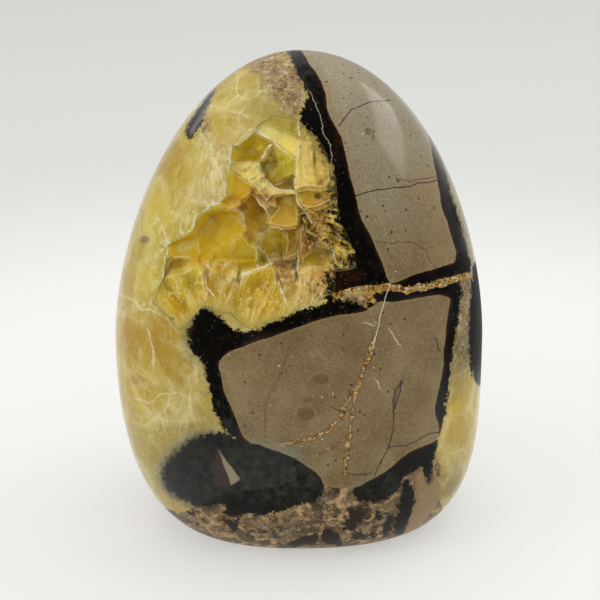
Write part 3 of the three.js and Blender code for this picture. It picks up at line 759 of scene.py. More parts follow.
def line_distance(points, line):
    """Distance from each point to a line of points, with the sign of the side it lies on."""
    nearest = np.full(len(points), NOWHERE)
    line = np.asarray(line, float)
    for start, end in zip(line[:-1], line[1:]):
        distance, edge, offset = edge_gap(points, start, end)
        side = np.where(edge[0] * offset[:, 1] - edge[1] * offset[:, 0] < 0, -1, 1)
        nearest = np.where(distance < np.abs(nearest), distance * side, nearest)
    return nearest


def nearest_line(points, lines, halves=1):
    """Distance to the nearest line in half widths, with the sign of its side, and which it is."""
    distances = np.array([line_distance(points, line) for line in lines])
    distances = distances / np.reshape(halves, (-1, 1))
    nearest = np.argmin(np.abs(distances), axis=0)
    return distances[nearest, np.arange(len(points))], nearest


# --------------------------------------------------------------------- fields of the pattern

def plane_place(points):
    """Where points in space lie in the plane of the pattern."""
    u = points[:, 0]
    w = points[:, 2] * math.cos(CAMERA_TILT) + points[:, 1] * math.sin(CAMERA_TILT)
    return np.stack([u, w], axis=1)


def back_share(points):
    """0 where the pattern of the front holds, 1 where the blocks of the back do."""
    normal = (points - BACK_MIDDLE) / np.array(BACK_AXES) ** 2
    normal /= np.linalg.norm(normal, axis=1)[:, None]
    facing = -normal[:, 1] * math.cos(CAMERA_TILT) + normal[:, 2] * math.sin(CAMERA_TILT)
    return smooth_share(-facing, -0.12, 0.3)


def block_fields(points):
    """Distance into the nearest block of rock of the back, and the width of its black rim."""
    places = points + noise_columns(points, 14, (11, 21, 31)) * BLOCK_WOBBLE
    middles = np.array(BLOCKS + OPEN_BLOCKS, float)
    distances = np.linalg.norm(places[:, None] - middles[None], axis=2)
    best = np.full(len(points), -NOWHERE)
    for i in range(len(BLOCKS)):
        gaps = []
        for j in range(len(middles)):
            if j != i:
                apart = np.linalg.norm(middles[j] - middles[i])
                gaps.append((distances[:, j] ** 2 - distances[:, i] ** 2) / (2 * apart))
        best = np.maximum(best, np.min(gaps, axis=0) - SEAM_WIDTH / 2)
    return best, BLACK_RIM + 1.3 * lattice_noise(points, 16, 41)


def spot_field(place):
    """Distance to the edge of the nearest spot, positive inside."""
    spot = np.full(len(place), -9.0)
    for u, w, across, up in SPOTS:
        reach = np.hypot((place[:, 0] - u) / across, (place[:, 1] - w) / up)
        spot = np.maximum(spot, (1 - reach) * min(across, up))
    return spot


def pattern_fields(points):
    """All fields of the pattern at points on the skin, by name."""
    place = plane_place(points)
    wobble = np.stack([lattice_noise(place, 3.1, seed) for seed in (51, 52)], axis=1)
    wavy = place + wobble * EDGE_WOBBLE
    crooked = wavy + VEIN_WOBBLE * noise_columns(place, 1.8, (54, 57))
    back = back_share(points)
    block, rim = block_fields(points)

    # What is drawn on the front alone.
    drawn = {
        "window": outline_distance(wavy, BLOB_WINDOW),
        "brown": outline_distance(wavy, BLOB_BROWN),
        "pink": joined(wavy, [PINK_OUTLINE]),
        "tan": np.max([half - np.abs(line_distance(crooked, line)) for line, half in TAN_LINES],
                      axis=0),
        "spot": spot_field(place),
    }
    fields = {name: values - back * FAR_OUTSIDE for name, values in drawn.items()}
    fragments = joined(wavy, FRAGMENT_OUTLINES)
    fields["fragments"] = np.where(back > 0.5, -9, fragments)
    base = 7 + 3.5 * lattice_noise(points, 17, 61) - points[:, 2]
    fields["breccia"] = joined(wavy, [BRECCIA_OUTLINE]) * (1 - back) + base * back
    matrix = joined(wavy, MATRIX_OUTLINES.values())
    rock = matrix * (1 - back) + block * back
    fields["matrix"] = rock

    # Past the drawn pattern, every edge of the rock has its black rim, and the black seam
    # comes close round the right of the hollow.
    black = joined(wavy, BLACK_OUTLINES.values())
    black = np.maximum(black, fragments) * (1 - back) + (block + rim) * back
    behind = smooth_share(back, 0.03, 0.2)
    black = np.maximum(black, rock + rim - OUTSIDE * (1 - behind))
    angle, from_middle = round_middle(points[:, 0], points[:, 2])
    fields["rim"] = from_middle - rim_radius(angle)
    beside = BLACK_BESIDE - np.abs(fields["rim"])
    beside -= OUTSIDE * (np.abs(angle - math.radians(BLACK_SIDE)) > 0.9)
    beside -= OUTSIDE * ((points[:, 1] > 0) | (matrix > 0))
    fields["black"] = np.maximum(black, beside)
    away = turned_away(angle, BROKEN_SIDE)
    fields["rim_strength"] = (1 - smooth_share(away, *BROKEN_FADE)) * (points[:, 1] < 0)

    for name, lines in LINES.items():
        side, _ = nearest_line(wavy, lines)
        fields[name + "_line"] = side
        fields[name + "_strength"] = (1 - smooth_share(np.abs(side), 0.9, 1.9)) * (1 - back)
    for name, patches in PATCHES.items():
        lumps = layered_noise(points, 22, 71 + len(name))
        far = np.clip(0.25 + 0.6 * lumps, 0, 1)
        fields[name] = np.clip(patch_sum(place, patches), 0, 1) * (1 - back) + far * back
    return fields


# ------------------------------------------------------------------------------- meshes

def mesh_object(name, vertices, faces):
    """A mesh object from vertices in millimetres."""
    mesh = bpy.data.meshes.new(name)
    mesh.from_pydata((np.asarray(vertices) * METRE).tolist(), [], faces)
    mesh.validate()
    piece = bpy.data.objects.new(name, mesh)
    bpy.context.scene.collection.objects.link(piece)
    return piece


def ring_faces(rings, segments, closed_start, closed_end, first=0):
    """Faces between rings of vertices, with a point at either end where it is closed.

    They face outwards where the rings turn anticlockwise and rise.
    """
    faces = []
    following = [(i, (i + 1) % segments) for i in range(segments)]
    for ring in range(rings - 1):
        low = first + ring * segments
        high = low + segments
        faces += [(low + i, low + j, high + j, high + i) for i, j in following]
    if closed_start is not None:
        faces += [(closed_start, first + j, first + i) for i, j in following]
    if closed_end is not None:
        last = first + (rings - 1) * segments
        faces += [(closed_end, last + i, last + j) for i, j in following]
    return faces


def turned(faces):
    """The same faces, facing the other way."""
    return [face[::-1] for face in faces]


def even_turns(count):
    """Angles all round, in even steps."""
    return np.arange(count) / count * 2 * math.pi


def egg_piece():
    """The whole egg, finer on its front than on its back."""
    front = -math.pi + np.arange(FRONT_SEGMENTS) / FRONT_SEGMENTS * math.pi
    back = np.arange(BACK_SEGMENTS) / BACK_SEGMENTS * math.pi
    angles = np.concatenate([front, back])
    levels = [(i / FOOT_RINGS, 0.0) for i in range(1, FOOT_RINGS)]
    for i in range(EDGE_RINGS + 1):
        levels.append((1, FOOT_EDGE_RADIUS * (1 - math.cos(i / EDGE_RINGS * math.pi / 2))))
    for i in range(1, LOWER_RINGS + 1):
        rise = (i / LOWER_RINGS) ** LOWER_EASE
        levels.append((1, FOOT_EDGE_RADIUS + (WIDEST_Z - FOOT_EDGE_RADIUS) * rise))
    for i in range(1, UPPER_RINGS):
        share = i / UPPER_RINGS
        rise = 0.45 * math.sin(share * math.pi / 2) + 0.55 * (1 - (1 - share) ** UPPER_EASE)
        levels.append((1, WIDEST_Z + (HEIGHT - WIDEST_Z) * rise))
    vertices = []
    for share, level in levels:
        z = np.full(len(angles), float(level))
        radius = share * skin_radius(angles, z)
        vertices.append(np.stack([radius * np.cos(angles), radius * np.sin(angles), z], axis=1))
    vertices = np.concatenate(vertices + [np.array([[0, 0, 0], [0, 0, HEIGHT]], float)])
    ends = len(levels) * len(angles)
    faces = ring_faces(len(levels), len(angles), ends, ends + 1)
    return mesh_object("egg", vertices, faces)


def open_rim(angle):
    """1 where the rim of the hollow stands clear as a broken edge, 0 where it is level."""
    reach = [math.radians(OPEN_RIM_REACH), math.radians(OPEN_RIM_REACH + OPEN_RIM_FADE)]
    return 1 - smooth_share(turned_away(angle, OPEN_RIM_MIDDLE), *reach)


def ragged_rim(angles):
    """Rim of the hollow with its small chips, as a radius at each angle."""
    ring = np.stack([np.cos(angles), np.sin(angles)], axis=1) * CHIP_RING
    chips = 0.5 * lattice_noise(ring, 2.2, 81) + 0.3 * lattice_noise(ring, 0.9, 82)
    return rim_radius(angles) + np.minimum(chips, LARGEST_CHIP)


def ring_under_skin(share, radius, angles, depth):
    """A ring round the middle of the hollow, at a share of a radius and a depth."""
    x = HOLLOW_X + share * radius * np.cos(angles)
    z = HOLLOW_Z + share * radius * np.sin(angles)
    return np.stack([x, front_skin(x, z) + depth, z], axis=1)


def middle_under_skin(depth):
    """The middle of the hollow at a depth, as a row."""
    return np.array([[HOLLOW_X, skin_at(HOLLOW_X, HOLLOW_Z) + depth, HOLLOW_Z]])


def hollow_piece():
    """The cutter that breaks the hollow open."""
    angles = even_turns(RIM_SEGMENTS)
    radius = ragged_rim(angles)
    rings = [(0.5, -CUTTER_REACH), (1, -CUTTER_REACH), (1, 0), (0.995, 1)]
    rings += BOWL[:-1] + [(0.3, 18.4)]
    vertices = [ring_under_skin(share, radius, angles, depth) for share, depth in rings]
    vertices += [middle_under_skin(depth) for depth in (-CUTTER_REACH, BOWL[-1][1])]
    ends = len(rings) * RIM_SEGMENTS
    faces = ring_faces(len(rings), RIM_SEGMENTS, ends, ends + 1)
    return mesh_object("hollow", np.concatenate(vertices), turned(faces))


def cut(piece, cutter, name):
    """The piece less the cutter, as a new object."""
    boolean = piece.modifiers.new("cut", "BOOLEAN")
    boolean.operation = "DIFFERENCE"
    boolean.solver = "MANIFOLD"
    boolean.object = cutter
    graph = bpy.context.evaluated_depsgraph_get()
    mesh = bpy.data.meshes.new_from_object(piece.evaluated_get(graph))
    for old in (piece, cutter):
        bpy.data.objects.remove(old, do_unlink=True)
    made = bpy.data.objects.new(name, mesh)
    bpy.context.scene.collection.objects.link(made)
    return made


def mesh_points(piece):
    """Vertices of a piece, in millimetres."""
    flat = np.empty(len(piece.data.vertices) * 3)
    piece.data.vertices.foreach_get("co", flat)
    return flat.reshape(-1, 3) / METRE


def set_field(piece, name, values):
    """Stores one number at each vertex."""
    field = piece.data.attributes.new(name, "FLOAT", "POINT")
    field.data.foreach_set("value", np.asarray(values, np.float32))


# ----------------------------------------------------------------------- crystal surface

def level_of(u, w, depth):
    """Height above the foot of what lies at a depth under the skin and shows at (u, w)."""
    z = w
    for _ in range(12):
        y = skin_at(u, z) + depth
        z = (w - y * math.sin(CAMERA_TILT)) / math.cos(CAMERA_TILT)
    return z


def spike_list(rng):
    """Tip, depth, breadth and lean of each small crystal beside the black seam."""
    spikes = []
    for _ in range(SPIKES):
        tip_z = rng.uniform(*SPIKE_LEVELS)
        edge = 13.2 - max(0.0, tip_z - 81) * 0.3 - max(0.0, 77 - tip_z) * 0.7
        inward = rng.uniform(*SPIKE_INWARD)
        depth = 0.7 + 0.36 * inward + rng.uniform(-0.4, 1.3)
        breadth = rng.uniform(*SPIKE_BREADTH)
        lean = rng.uniform(0.4, 1.8), rng.uniform(-0.7, 0.7)
        spikes.append((edge - inward, tip_z, depth, breadth, *lean))
    return spikes


def own_colour(seen):
    """A crystal's own colour, as a row, from how it looks in the studio light."""
    own = (np.array(seen) - LIGHT_VEIL) / LIGHT_GAIN
    return np.array(tone(*np.clip(own, 4, 250))[:3])


def painted(colours, coats):
    """Colours with others over them: the share of each at each point, and how it looks."""
    for share, seen in coats:
        share = np.clip(share, 0, 1)[:, None]
        colours = colours * (1 - share) + np.array(tone(*seen)[:3]) * share
    return colours


def spreading(place, middle, facing, across, along):
    """Fibres that spread from a middle, and the few bright threads among them."""
    facing = math.radians(facing)
    wander = noise_columns(place, 2.6, (181, 184))
    turn = np.array([[math.cos(facing), -math.sin(facing)], [math.sin(facing), math.cos(facing)]])
    offset = (place + wander * 0.5 - middle) @ turn
    angle = np.arctan2(offset[:, 1], offset[:, 0])
    reach = np.hypot(offset[:, 0], offset[:, 1])
    layers = []
    for layer in range(4):
        fineness = 1.9 ** layer
        lines = np.stack([angle * 6 * fineness / across, reach * fineness / along], axis=1)
        layers.append(lattice_noise(lines, 1, 101 + layer) / 1.3 ** layer)
    threads = np.exp(-(layers[1] / 0.09) ** 2) * smooth_share(layers[0] + layers[2], -0.1, 0.6)
    return sum(layers) / 1.5, threads


class CrystalSheet:
    """Front surface of the crystals over x and z, its colours, and what its shader needs."""

    def __init__(self, x, z):
        self.x, self.z = x, z
        self.plane = np.stack([x, z], axis=1)
        self.bend = noise_columns(self.plane, 3.2, (91, 94))
        self.teeth = noise_columns(self.plane, 0.9, (97, 99), 2)
        self.skin = front_skin(x, z)
        self.angle, _ = round_middle(x, z)
        self.from_rim = np.maximum(0, outline_distance(self.plane, RIM))
        self.level_rim = 1 - open_rim(self.angle)
        self.room = self.room_wall()
        rng = np.random.default_rng(7)
        self.lay_faces()
        self.set_small_crystals(rng)
        self.roughen()
        self.set_spikes(rng)
        self.meet_rim()
        self.shown = self.place_of(self.y)
        halves, strengths = np.array([row[1:] for row in THREADS]).T
        line = self.shown + self.teeth * 0.2 + self.bend * 0.2
        thread, which = nearest_line(line, [row[0] for row in THREADS], halves)
        self.black_share()
        self.fields = {
            "thread": thread,
            "thread_strength": (strengths[which] * (1 - smooth_share(np.abs(thread), 4, 9))
                                * (1 - self.black)),
            "border": self.border,
            "stands": self.stands * (1 - self.black),
            "gap": self.gap,
            "step": self.step,
            "depth": self.y - self.skin,
            "aragonite": self.black,
        }
        self.small_tone = rng.uniform(-1, 1, SMALL_CRYSTALS)[self.small]
        self.colour = painted(self.colour, self.coats())

    def place_of(self, y):
        """Where a surface shows in the plane of the pattern."""
        return plane_place(np.stack([self.x, y, self.z], axis=1))

    def room_wall(self):
        """Y that the crystals stay behind, so that the room in front of them is open."""
        (left, right), (low, high), back = OPEN_ROOM
        beside = np.hypot(np.maximum(0, np.maximum(left - self.x, self.x - right)),
                          np.maximum(0, np.maximum(low - self.z, self.z - high)))
        return back + ROOM_GAP - ROOM_FLARE * beside

    def face_layers(self):
        """The plane of each named face, the distance into its outline, and its colours."""
        levels, insides, tones = [], [], []
        for outline, depth, lean_right, lean_up, _, near_tone, far_tone, side in FACES.values():
            middle = np.mean(outline, axis=0)
            middle_z = level_of(*middle, depth)
            slope_right, slope_up = skin_slopes(middle[0], middle_z)
            y = (skin_at(middle[0], middle_z) + depth
                 + (slope_right + lean_right) * (self.x - middle[0])
                 + (slope_up + lean_up) * (self.z - middle_z))
            y = np.maximum(y, self.room + ROOM_LEAN * y)
            place = self.place_of(y) + self.bend * 0.3 + self.teeth * 0.15
            facing = (math.cos(math.radians(side)), math.sin(math.radians(side)))
            reach = np.ptp(np.array(outline) @ facing) / 2
            share = smooth_share((place - middle) @ facing / reach, -0.9, 0.9)[:, None]
            levels.append(y)
            insides.append(outline_distance(place, outline))
            tones.append(own_colour(near_tone) * (1 - share) + own_colour(far_tone) * share)
        return np.array(levels), np.array(insides), np.array(tones)

    def lay_faces(self):
        """Lets the frontmost face show, and finds its border and the face beyond that."""
        levels, insides, tones = self.face_layers()
        rows = np.arange(len(self.x))
        # Where a place lies in no face, the nearest one shows.
        first = np.argmin(np.where(insides > 0, levels, NOWHERE * (1 - insides)), axis=0)
        own_level = levels[first, rows]
        own_inside = insides[first, rows]
        # The nearest border of a face is its own or that of one in front of it.
        others = insides.copy()
        others[first, rows] = -NOWHERE
        before = np.where(levels < own_level, others, -NOWHERE)
        over = np.argmax(before, axis=0)
        over_gap = -before[over, rows]
        covered = over_gap < own_inside
        second = np.where(covered, over, np.argmax(others, axis=0))
        next_level = levels[second, rows]
        self.border = np.maximum(0, np.minimum(own_inside, over_gap))
        self.stands = smooth_share(next_level - own_level, -0.2, 0.5)
        under = smooth_share(own_level - next_level, 1, 4)
        # A painted shadow on a deeper face, just beside the edge of the face in front of it.
        self.shadow = (1 - smooth_share(over_gap, 0, 1.8)) * under * covered
        # A face falls away to a deeper neighbour along a short slope.
        fall = 0.5 * np.clip(1 - self.border / EDGE_SLOPE, 0, 1)
        self.y = own_level + (next_level - own_level) * fall
        # Colours pass softly over into each other where two crystals have grown together.
        soft = 0.5 * np.clip(1 - self.border / 0.35, 0, 1)[:, None]
        self.colour = tones[first, rows] * (1 - soft) + tones[second, rows] * soft
        kinds = [face[4] for face in FACES.values()]
        self.kind = np.array(kinds)[first]
        self.step, self.grain = np.array([KINDS[kind] for kind in kinds])[first].T

    def set_small_crystals(self, rng):
        """Smaller crystals inside each one, each set back and tilted in its own way."""
        across, up = [rng.uniform(*span, SMALL_CRYSTALS) for span in SMALL_SPANS]
        middles = np.stack([across, up], axis=1)
        reach = ((self.plane[:, None] + self.bend[:, None] * 0.9 - middles[None]) ** 2).sum(axis=2)
        left, right = np.argpartition(reach, 1, axis=1)[:, :2].T
        rows = np.arange(len(reach))
        near, far = reach[rows, left], reach[rows, right]
        self.small = np.where(near < far, left, right)
        self.gap = np.abs(far - near) / (2 * np.linalg.norm(middles[left] - middles[right], axis=1))
        height = rng.uniform(-1, 1, SMALL_CRYSTALS)[self.small]
        tilt = rng.uniform(-0.5, 0.5, (SMALL_CRYSTALS, 2))[self.small]
        rise = height + (tilt * (self.plane - middles[self.small])).sum(axis=1)
        self.y = self.y + self.step * rise

    def roughen(self):
        """Fibres, grain, and thin lips along the edges that overhang a deeper face."""
        place = self.place_of(self.y)
        self.strands = np.zeros(len(self.x))
        self.threads = np.zeros(len(self.x))
        for kind, (*spread, strength) in FIBRES.items():
            fibres, bright = spreading(place, *spread)
            self.strands = np.where(self.kind == kind, strength * fibres, self.strands)
            self.threads = np.where(self.kind == kind, strength * bright, self.threads)
        y = self.y + self.step * self.strands
        y = y + self.grain * layered_noise(self.plane, 0.9, 111)
        y = y + 0.1 * layered_noise(self.plane, 3.5, 112)
        lip = np.exp(-((self.border - EDGE_SLOPE * 0.8) / 0.3) ** 2) * self.stands
        self.y = y - lip * (0.08 + 0.08 * lattice_noise(self.plane, 1.5, 121))

    def set_spikes(self, rng):
        """Small crystals that point at the black seam, each a cone with blunt facets."""
        self.spiky = np.zeros(len(self.x))
        for tip_x, tip_z, depth, breadth, lean_right, lean_up in spike_list(rng):
            close = (np.abs(self.x - tip_x) < SPIKE_REACH) & (np.abs(self.z - tip_z) < SPIKE_REACH)
            dx = self.x[close] - tip_x
            dz = self.z[close] - tip_z
            level = np.zeros(len(dx))
            for _ in range(4):
                over_x = dx + lean_right * level
                over_z = dz - lean_up * level
                facet = 1 + 0.12 * np.cos(5 * np.arctan2(over_z, over_x))
                level = np.clip(np.hypot(over_x, over_z) * facet / breadth, 0, 3)
            spike_y = skin_at(tip_x, tip_z) + depth + SPIKE_LENGTH * level
            front = spike_y < self.y[close]
            where = np.flatnonzero(close)[front]
            self.spiky[where] = 1 - np.clip(level[front], 0, 1) * 0.7
            self.y[where] = spike_y[front]

    def meet_rim(self):
        """Only the left of the hollow has a step at its rim; elsewhere crystals rise to it."""
        rise = RIM_RISE * (1 - 0.6 * smooth_share(self.z, 96, 103))
        step = (0.7 + 0.9 * self.from_rim) * (1 - self.level_rim)
        y = np.minimum(self.y, self.skin + (0.12 + rise * self.from_rim + step))
        y = np.maximum(y, self.room)
        self.y = np.maximum(y, self.skin + 0.1 + 0.03 * layered_noise(self.plane, 0.8, 131))

    def black_share(self):
        """Black aragonite that comes in between the crystals that point at the black seam."""
        self.ragged = layered_noise(self.shown, 1.6, 171, 4)
        self.on_right = smooth_share(turned_away(self.angle, BLACK_SIDE), 1.05, 0.8)
        self.upper = smooth_share(self.shown[:, 1], 77, 81)
        spikes, _ = spreading(self.shown, *SPIKE_FAN)
        fine_spikes = np.abs(layered_noise(self.shown, 1.3, 195, 4))
        below = ((2.8 - self.from_rim) * 0.42 + 1.1 * spikes + 0.5 * self.ragged
                 - 1.2 * fine_spikes + 0.2)
        noise = layered_noise(self.shown, 0.7, 197, 2)
        self.sprinkled = (1.8 - self.from_rim) * 0.6 + 0.9 * noise
        black = below * (1 - self.upper) + (self.sprinkled - 0.5) * self.upper
        self.near_black = smooth_share(black, -0.6, 0.4) * self.on_right * (1 - self.upper)
        self.black = smooth_share(black, 0.1, 0.6) * self.on_right

    def coats(self):
        """What lies over the colours of the faces: a painted shadow, clouds, fibres, stains and black.
        """
        place, ragged = self.shown, self.ragged
        weak = np.isin(self.kind, WEAK_CLOUDS)
        clouds = layered_noise(place, 4, 151, 4) * np.where(weak, 0.4, 1)
        grey_green = lattice_noise(place, 7, 155) * np.where(weak, 0.3, 1)
        veils = smooth_share(layered_noise(place + self.bend * 2, 2.6, 161, 4), 0.2, 0.75)
        flecks = smooth_share(layered_noise(place + self.bend, 1.0, 191, 4), 0.3, 0.65)
        bright = patch_sum(place, BRIGHT_PLACES) * (1 + 0.5 * ragged)
        rusty = patch_sum(place, RUSTY_PLACES) + 0.5 * ragged
        dark = patch_sum(place, DARK_PLACES) + 0.3 * ragged
        joins = 1 - smooth_share(self.from_rim + ragged, 0.2, 3)
        joins = joins * self.level_rim * (1 - self.on_right)
        olive = smooth_share(self.sprinkled, -0.8, 0.5) * self.on_right * self.upper
        return [
            # Painted shadow under the edge of a face in front.
            (self.shadow * 0.4, (96, 72, 6)),
            (clouds * 0.45, (230, 202, 80)),
            (-clouds * 0.5, (122, 90, 8)),
            (self.small_tone * 0.16, (226, 202, 96)),
            (-self.small_tone * 0.16, (130, 98, 14)),
            (grey_green * 0.35, (150, 148, 50)),
            (veils * 0.35, (236, 220, 150)),
            (self.strands * 0.9, (240, 222, 140)),
            (-self.strands * 1.3, (128, 92, 18)),
            (self.threads * 0.8, (246, 234, 184)),
            (flecks * np.isin(self.kind, FLECKED) * 0.5, (240, 226, 164)),
            (bright * 0.6, (234, 206, 104)),
            (smooth_share(rusty, 0.35, 0.9) * 0.75, (150, 98, 44)),
            (smooth_share(dark, 0.15, 0.8) * 0.9, (74, 58, 6)),
            (self.spiky * 0.6, (244, 212, 118)),
            (joins * 0.8, (196, 172, 84)),
            (olive * 0.8, (140, 122, 66)),
            (self.near_black * 0.7, (112, 90, 30)),
            (self.black, (14, 10, 4)),
        ]


def bowl_depth(share):
    """Depth of the wall of the hollow at a share of the rim's radius."""
    shares, depths = zip(*reversed(BOWL))
    return np.interp(share, [*shares, 1.0], [*depths, 0.5])


def crust_rings(radius):
    """Reach of each ring, even inside and with the shape of the rim only near it."""
    window = np.hanning(CRUST_SEGMENTS // 6)
    even = np.convolve(np.tile(radius, 3), window / window.sum(), "same")
    even = even[CRUST_SEGMENTS:2 * CRUST_SEGMENTS]
    shares = (np.arange(1, CRUST_RINGS + 1) / CRUST_RINGS) ** CRUST_EASE
    inner = np.outer(np.minimum(shares, INNER_SHARE), even)
    outer_part = np.maximum(0, shares - INNER_SHARE) / (1 - INNER_SHARE)
    return inner + outer_part[:, None] * (radius - INNER_SHARE * even)


def crust_piece():
    """The crust: a sheet of crystals over the wall of the hollow, closed all round."""
    angles = even_turns(CRUST_SEGMENTS)
    radius = ragged_rim(angles) - RIM_GAP
    reach = crust_rings(radius)
    x = np.append(HOLLOW_X + (reach * np.cos(angles)).ravel(), HOLLOW_X)
    z = np.append(HOLLOW_Z + (reach * np.sin(angles)).ravel(), HOLLOW_Z)
    sheet = CrystalSheet(x, z)
    wall = sheet.skin + bowl_depth(np.append((reach / radius).ravel(), 0))
    y = np.minimum(sheet.y, wall - LEAST_CRUST)
    front_count = len(x)

    # Its back lies just before the wall of the hollow and closes up at the rim.
    back_rings = [(0.999, 1.15), (0.985, 2.2)]
    back_rings += [(share * 0.985, depth - WALL_GAP) for share, depth in BOWL[1:-1]]
    rim_y = y[-1 - CRUST_SEGMENTS:-1]
    vertices = [np.stack([x, y, z], axis=1)]
    for share, depth in back_rings:
        ring = ring_under_skin(share, radius, angles, depth)
        if depth < 3:
            ring[:, 1] = np.maximum(ring[:, 1], rim_y + 0.15 + 0.1 * depth)
        vertices.append(ring)
    vertices = np.concatenate(vertices + [middle_under_skin(BOWL[-1][1] - WALL_GAP)])

    faces = ring_faces(CRUST_RINGS, CRUST_SEGMENTS, front_count - 1, None)
    outer = (CRUST_RINGS - 1) * CRUST_SEGMENTS
    for i in range(CRUST_SEGMENTS):
        j = (i + 1) % CRUST_SEGMENTS
        faces.append((outer + i, outer + j, front_count + j, front_count + i))
    faces += ring_faces(len(back_rings), CRUST_SEGMENTS, None, len(vertices) - 1, front_count)
    piece = mesh_object("crystal_crust", vertices, turned(faces))
    spare = len(vertices) - front_count
    for name, values in sheet.fields.items():
        set_field(piece, name, np.append(values, np.full(spare, values[0])))
    colours = np.ones((len(vertices), 4))
    colours[:front_count, :3] = sheet.colour
    colours[front_count:, :3] = sheet.colour[0]
    layer = piece.data.attributes.new("crystal_colour", "FLOAT_COLOR", "POINT")
    layer.data.foreach_set("color", colours.astype(np.float32).ravel())
    return piece


# ---------------------------------------------------------------------------- materials

def tone(red, green, blue):
    """A colour as seen on screen, 0 to 255, as the shader takes it."""
    linear = []
    for value in (red, green, blue):
        share = value / 255
        linear.append(share / 12.92 if share < 0.04045 else ((share + 0.055) / 1.055) ** 2.4)
    return (*linear, 1)


class Graph:
    """Nodes of a material or a world, written as calls that give back their output."""

    def __init__(self, owner, shader):
        self.owner = owner
        owner.use_nodes = True
        self.nodes = owner.node_tree.nodes
        self.links = owner.node_tree.links
        self.shader = self.nodes[shader]
        self.places = self.new("TexCoord").outputs
        self.place = None  # in millimetres, where a material needs it

    def new(self, kind):
        return self.nodes.new("ShaderNode" + kind)

    def put(self, socket, value):
        if isinstance(value, bpy.types.NodeSocket):
            self.links.new(value, socket)
        else:
            socket.default_value = value

    def fed(self, node, inputs):
        """Puts values or links into the inputs of a node, and gives back its outputs."""
        for socket, value in inputs.items():
            self.put(node.inputs[socket], value)
        return node.outputs

    def field(self, name, output="Fac"):
        node = self.new("Attribute")
        node.attribute_name = name
        return node.outputs[output]

    def math(self, operation, first, second=0.0):
        node = self.new("Math")
        node.operation = operation
        return self.fed(node, {0: first, 1: second})[0]

    def vector(self, operation, inputs):
        node = self.new("VectorMath")
        node.operation = operation
        return self.fed(node, inputs)

    def add(self, first, second):
        return self.math("ADD", first, second)

    def less(self, first, second):
        return self.math("SUBTRACT", first, second)

    def times(self, first, *others):
        for other in others:
            first = self.math("MULTIPLY", first, other)
        return first

    def share(self, value, low, high, out_low=0.0, out_high=1.0):
        """Smooth step from low to high."""
        if low > high:
            low, high, out_low, out_high = high, low, out_high, out_low
        node = self.new("MapRange")
        node.interpolation_type = "SMOOTHSTEP"
        return self.fed(node, {"Value": value, "From Min": low, "From Max": high,
                               "To Min": out_low, "To Max": out_high})[0]

    def mix(self, share, first, second):
        """A mixed colour."""
        node = self.new("Mix")
        node.data_type = "RGBA"
        return self.fed(node, {0: share, 6: first, 7: second})[2]

    def blend(self, share, first, second):
        """A mixed number."""
        node = self.new("Mix")
        node.data_type = "FLOAT"
        return self.fed(node, {0: share, 2: first, 3: second})[0]

    def coats(self, colour, coats):
        """A colour with others over it: share of each, its strength, and how it looks."""
        for share, strength, seen in coats:
            if strength != 1:
                share = self.times(share, strength)
            if isinstance(seen, tuple):
                seen = tone(*seen)
            colour = self.mix(share, colour, seen)
        return colour

    def noise_node(self, size, seed, detail, place):
        node = self.new("TexNoise")
        node.noise_dimensions = "4D"
        self.fed(node, {"Vector": place, "W": seed, "Scale": 1 / size, "Detail": detail})
        return node

    def noise(self, size, seed=0.0, detail=3.0, roughness=0.55, place=None, warp=0.0):
        node = self.noise_node(size, seed, detail, place or self.place)
        return self.fed(node, {"Roughness": roughness, "Distortion": warp})["Fac"]

    def wobble(self, amount, *noise):
        """Noise about zero."""
        return self.times(self.less(self.noise(*noise), 0.5), amount)

    def shifted(self, place, amount, size, seed):
        """A place moved about by noise."""
        noise = self.noise_node(size, seed, 2.0, place).outputs["Color"]
        centred = self.vector("SUBTRACT", {0: noise, 1: (0.5, 0.5, 0.5)})[0]
        return self.vector("MULTIPLY_ADD", {0: centred, 1: (amount, amount, amount), 2: place})[0]

    def stretched(self, place, across, deep, up):
        return self.vector("MULTIPLY", {0: place, 1: (across, deep, up)})[0]

    def cells(self, size, place):
        """Distance within cells, and a colour of its own for each one."""
        outputs = self.fed(self.new("TexVoronoi"), {"Vector": place, "Scale": 1 / size})
        return outputs["Distance"], outputs["Color"]

    def cell_edges(self, size, place):
        """Distance to the edges of the same cells."""
        node = self.new("TexVoronoi")
        node.feature = "DISTANCE_TO_EDGE"
        return self.fed(node, {"Vector": place, "Scale": 1 / size})["Distance"]

    def part(self, colour, channel):
        """One of the three parts of a colour."""
        return self.fed(self.new("SeparateColor"), {0: colour})[channel]

    def axis(self, place, name):
        """One of the three parts of a place."""
        return self.fed(self.new("SeparateXYZ"), {0: place})[name]

    def ramp(self, value, stops):
        """Colours, as seen on screen, at positions along a value."""
        node = self.new("ValToRGB")
        band = node.color_ramp
        while len(band.elements) < len(stops):
            band.elements.new(0.5)
        for element, (position, seen) in zip(band.elements, stops.items()):
            element.position = position
            element.color = tone(*seen)
        return self.fed(node, {0: value})[0]

    def line(self, name, wobble, wide, narrow):
        """A drawn line that wobbles, with nothing beyond wide and all of it within narrow."""
        across = self.math("ABSOLUTE", self.add(self.field(name + "_line"), wobble))
        return self.times(self.share(across, wide, narrow), self.field(name + "_strength"))

    def bump(self, height, strength, distance):
        node = self.new("Bump")
        inputs = {"Height": height, "Strength": strength, "Distance": distance * METRE}
        self.set(Normal=self.fed(node, inputs)[0])

    def set(self, **values):
        self.fed(self.shader, {name.replace("_", " "): value for name, value in values.items()})


def material_graph(name):
    """Nodes of a new material, which knows its place in millimetres."""
    g = Graph(bpy.data.materials.new(name), "Principled BSDF")
    g.place = g.vector("SCALE", {0: g.places["Object"], "Scale": 1 / METRE})[0]
    return g


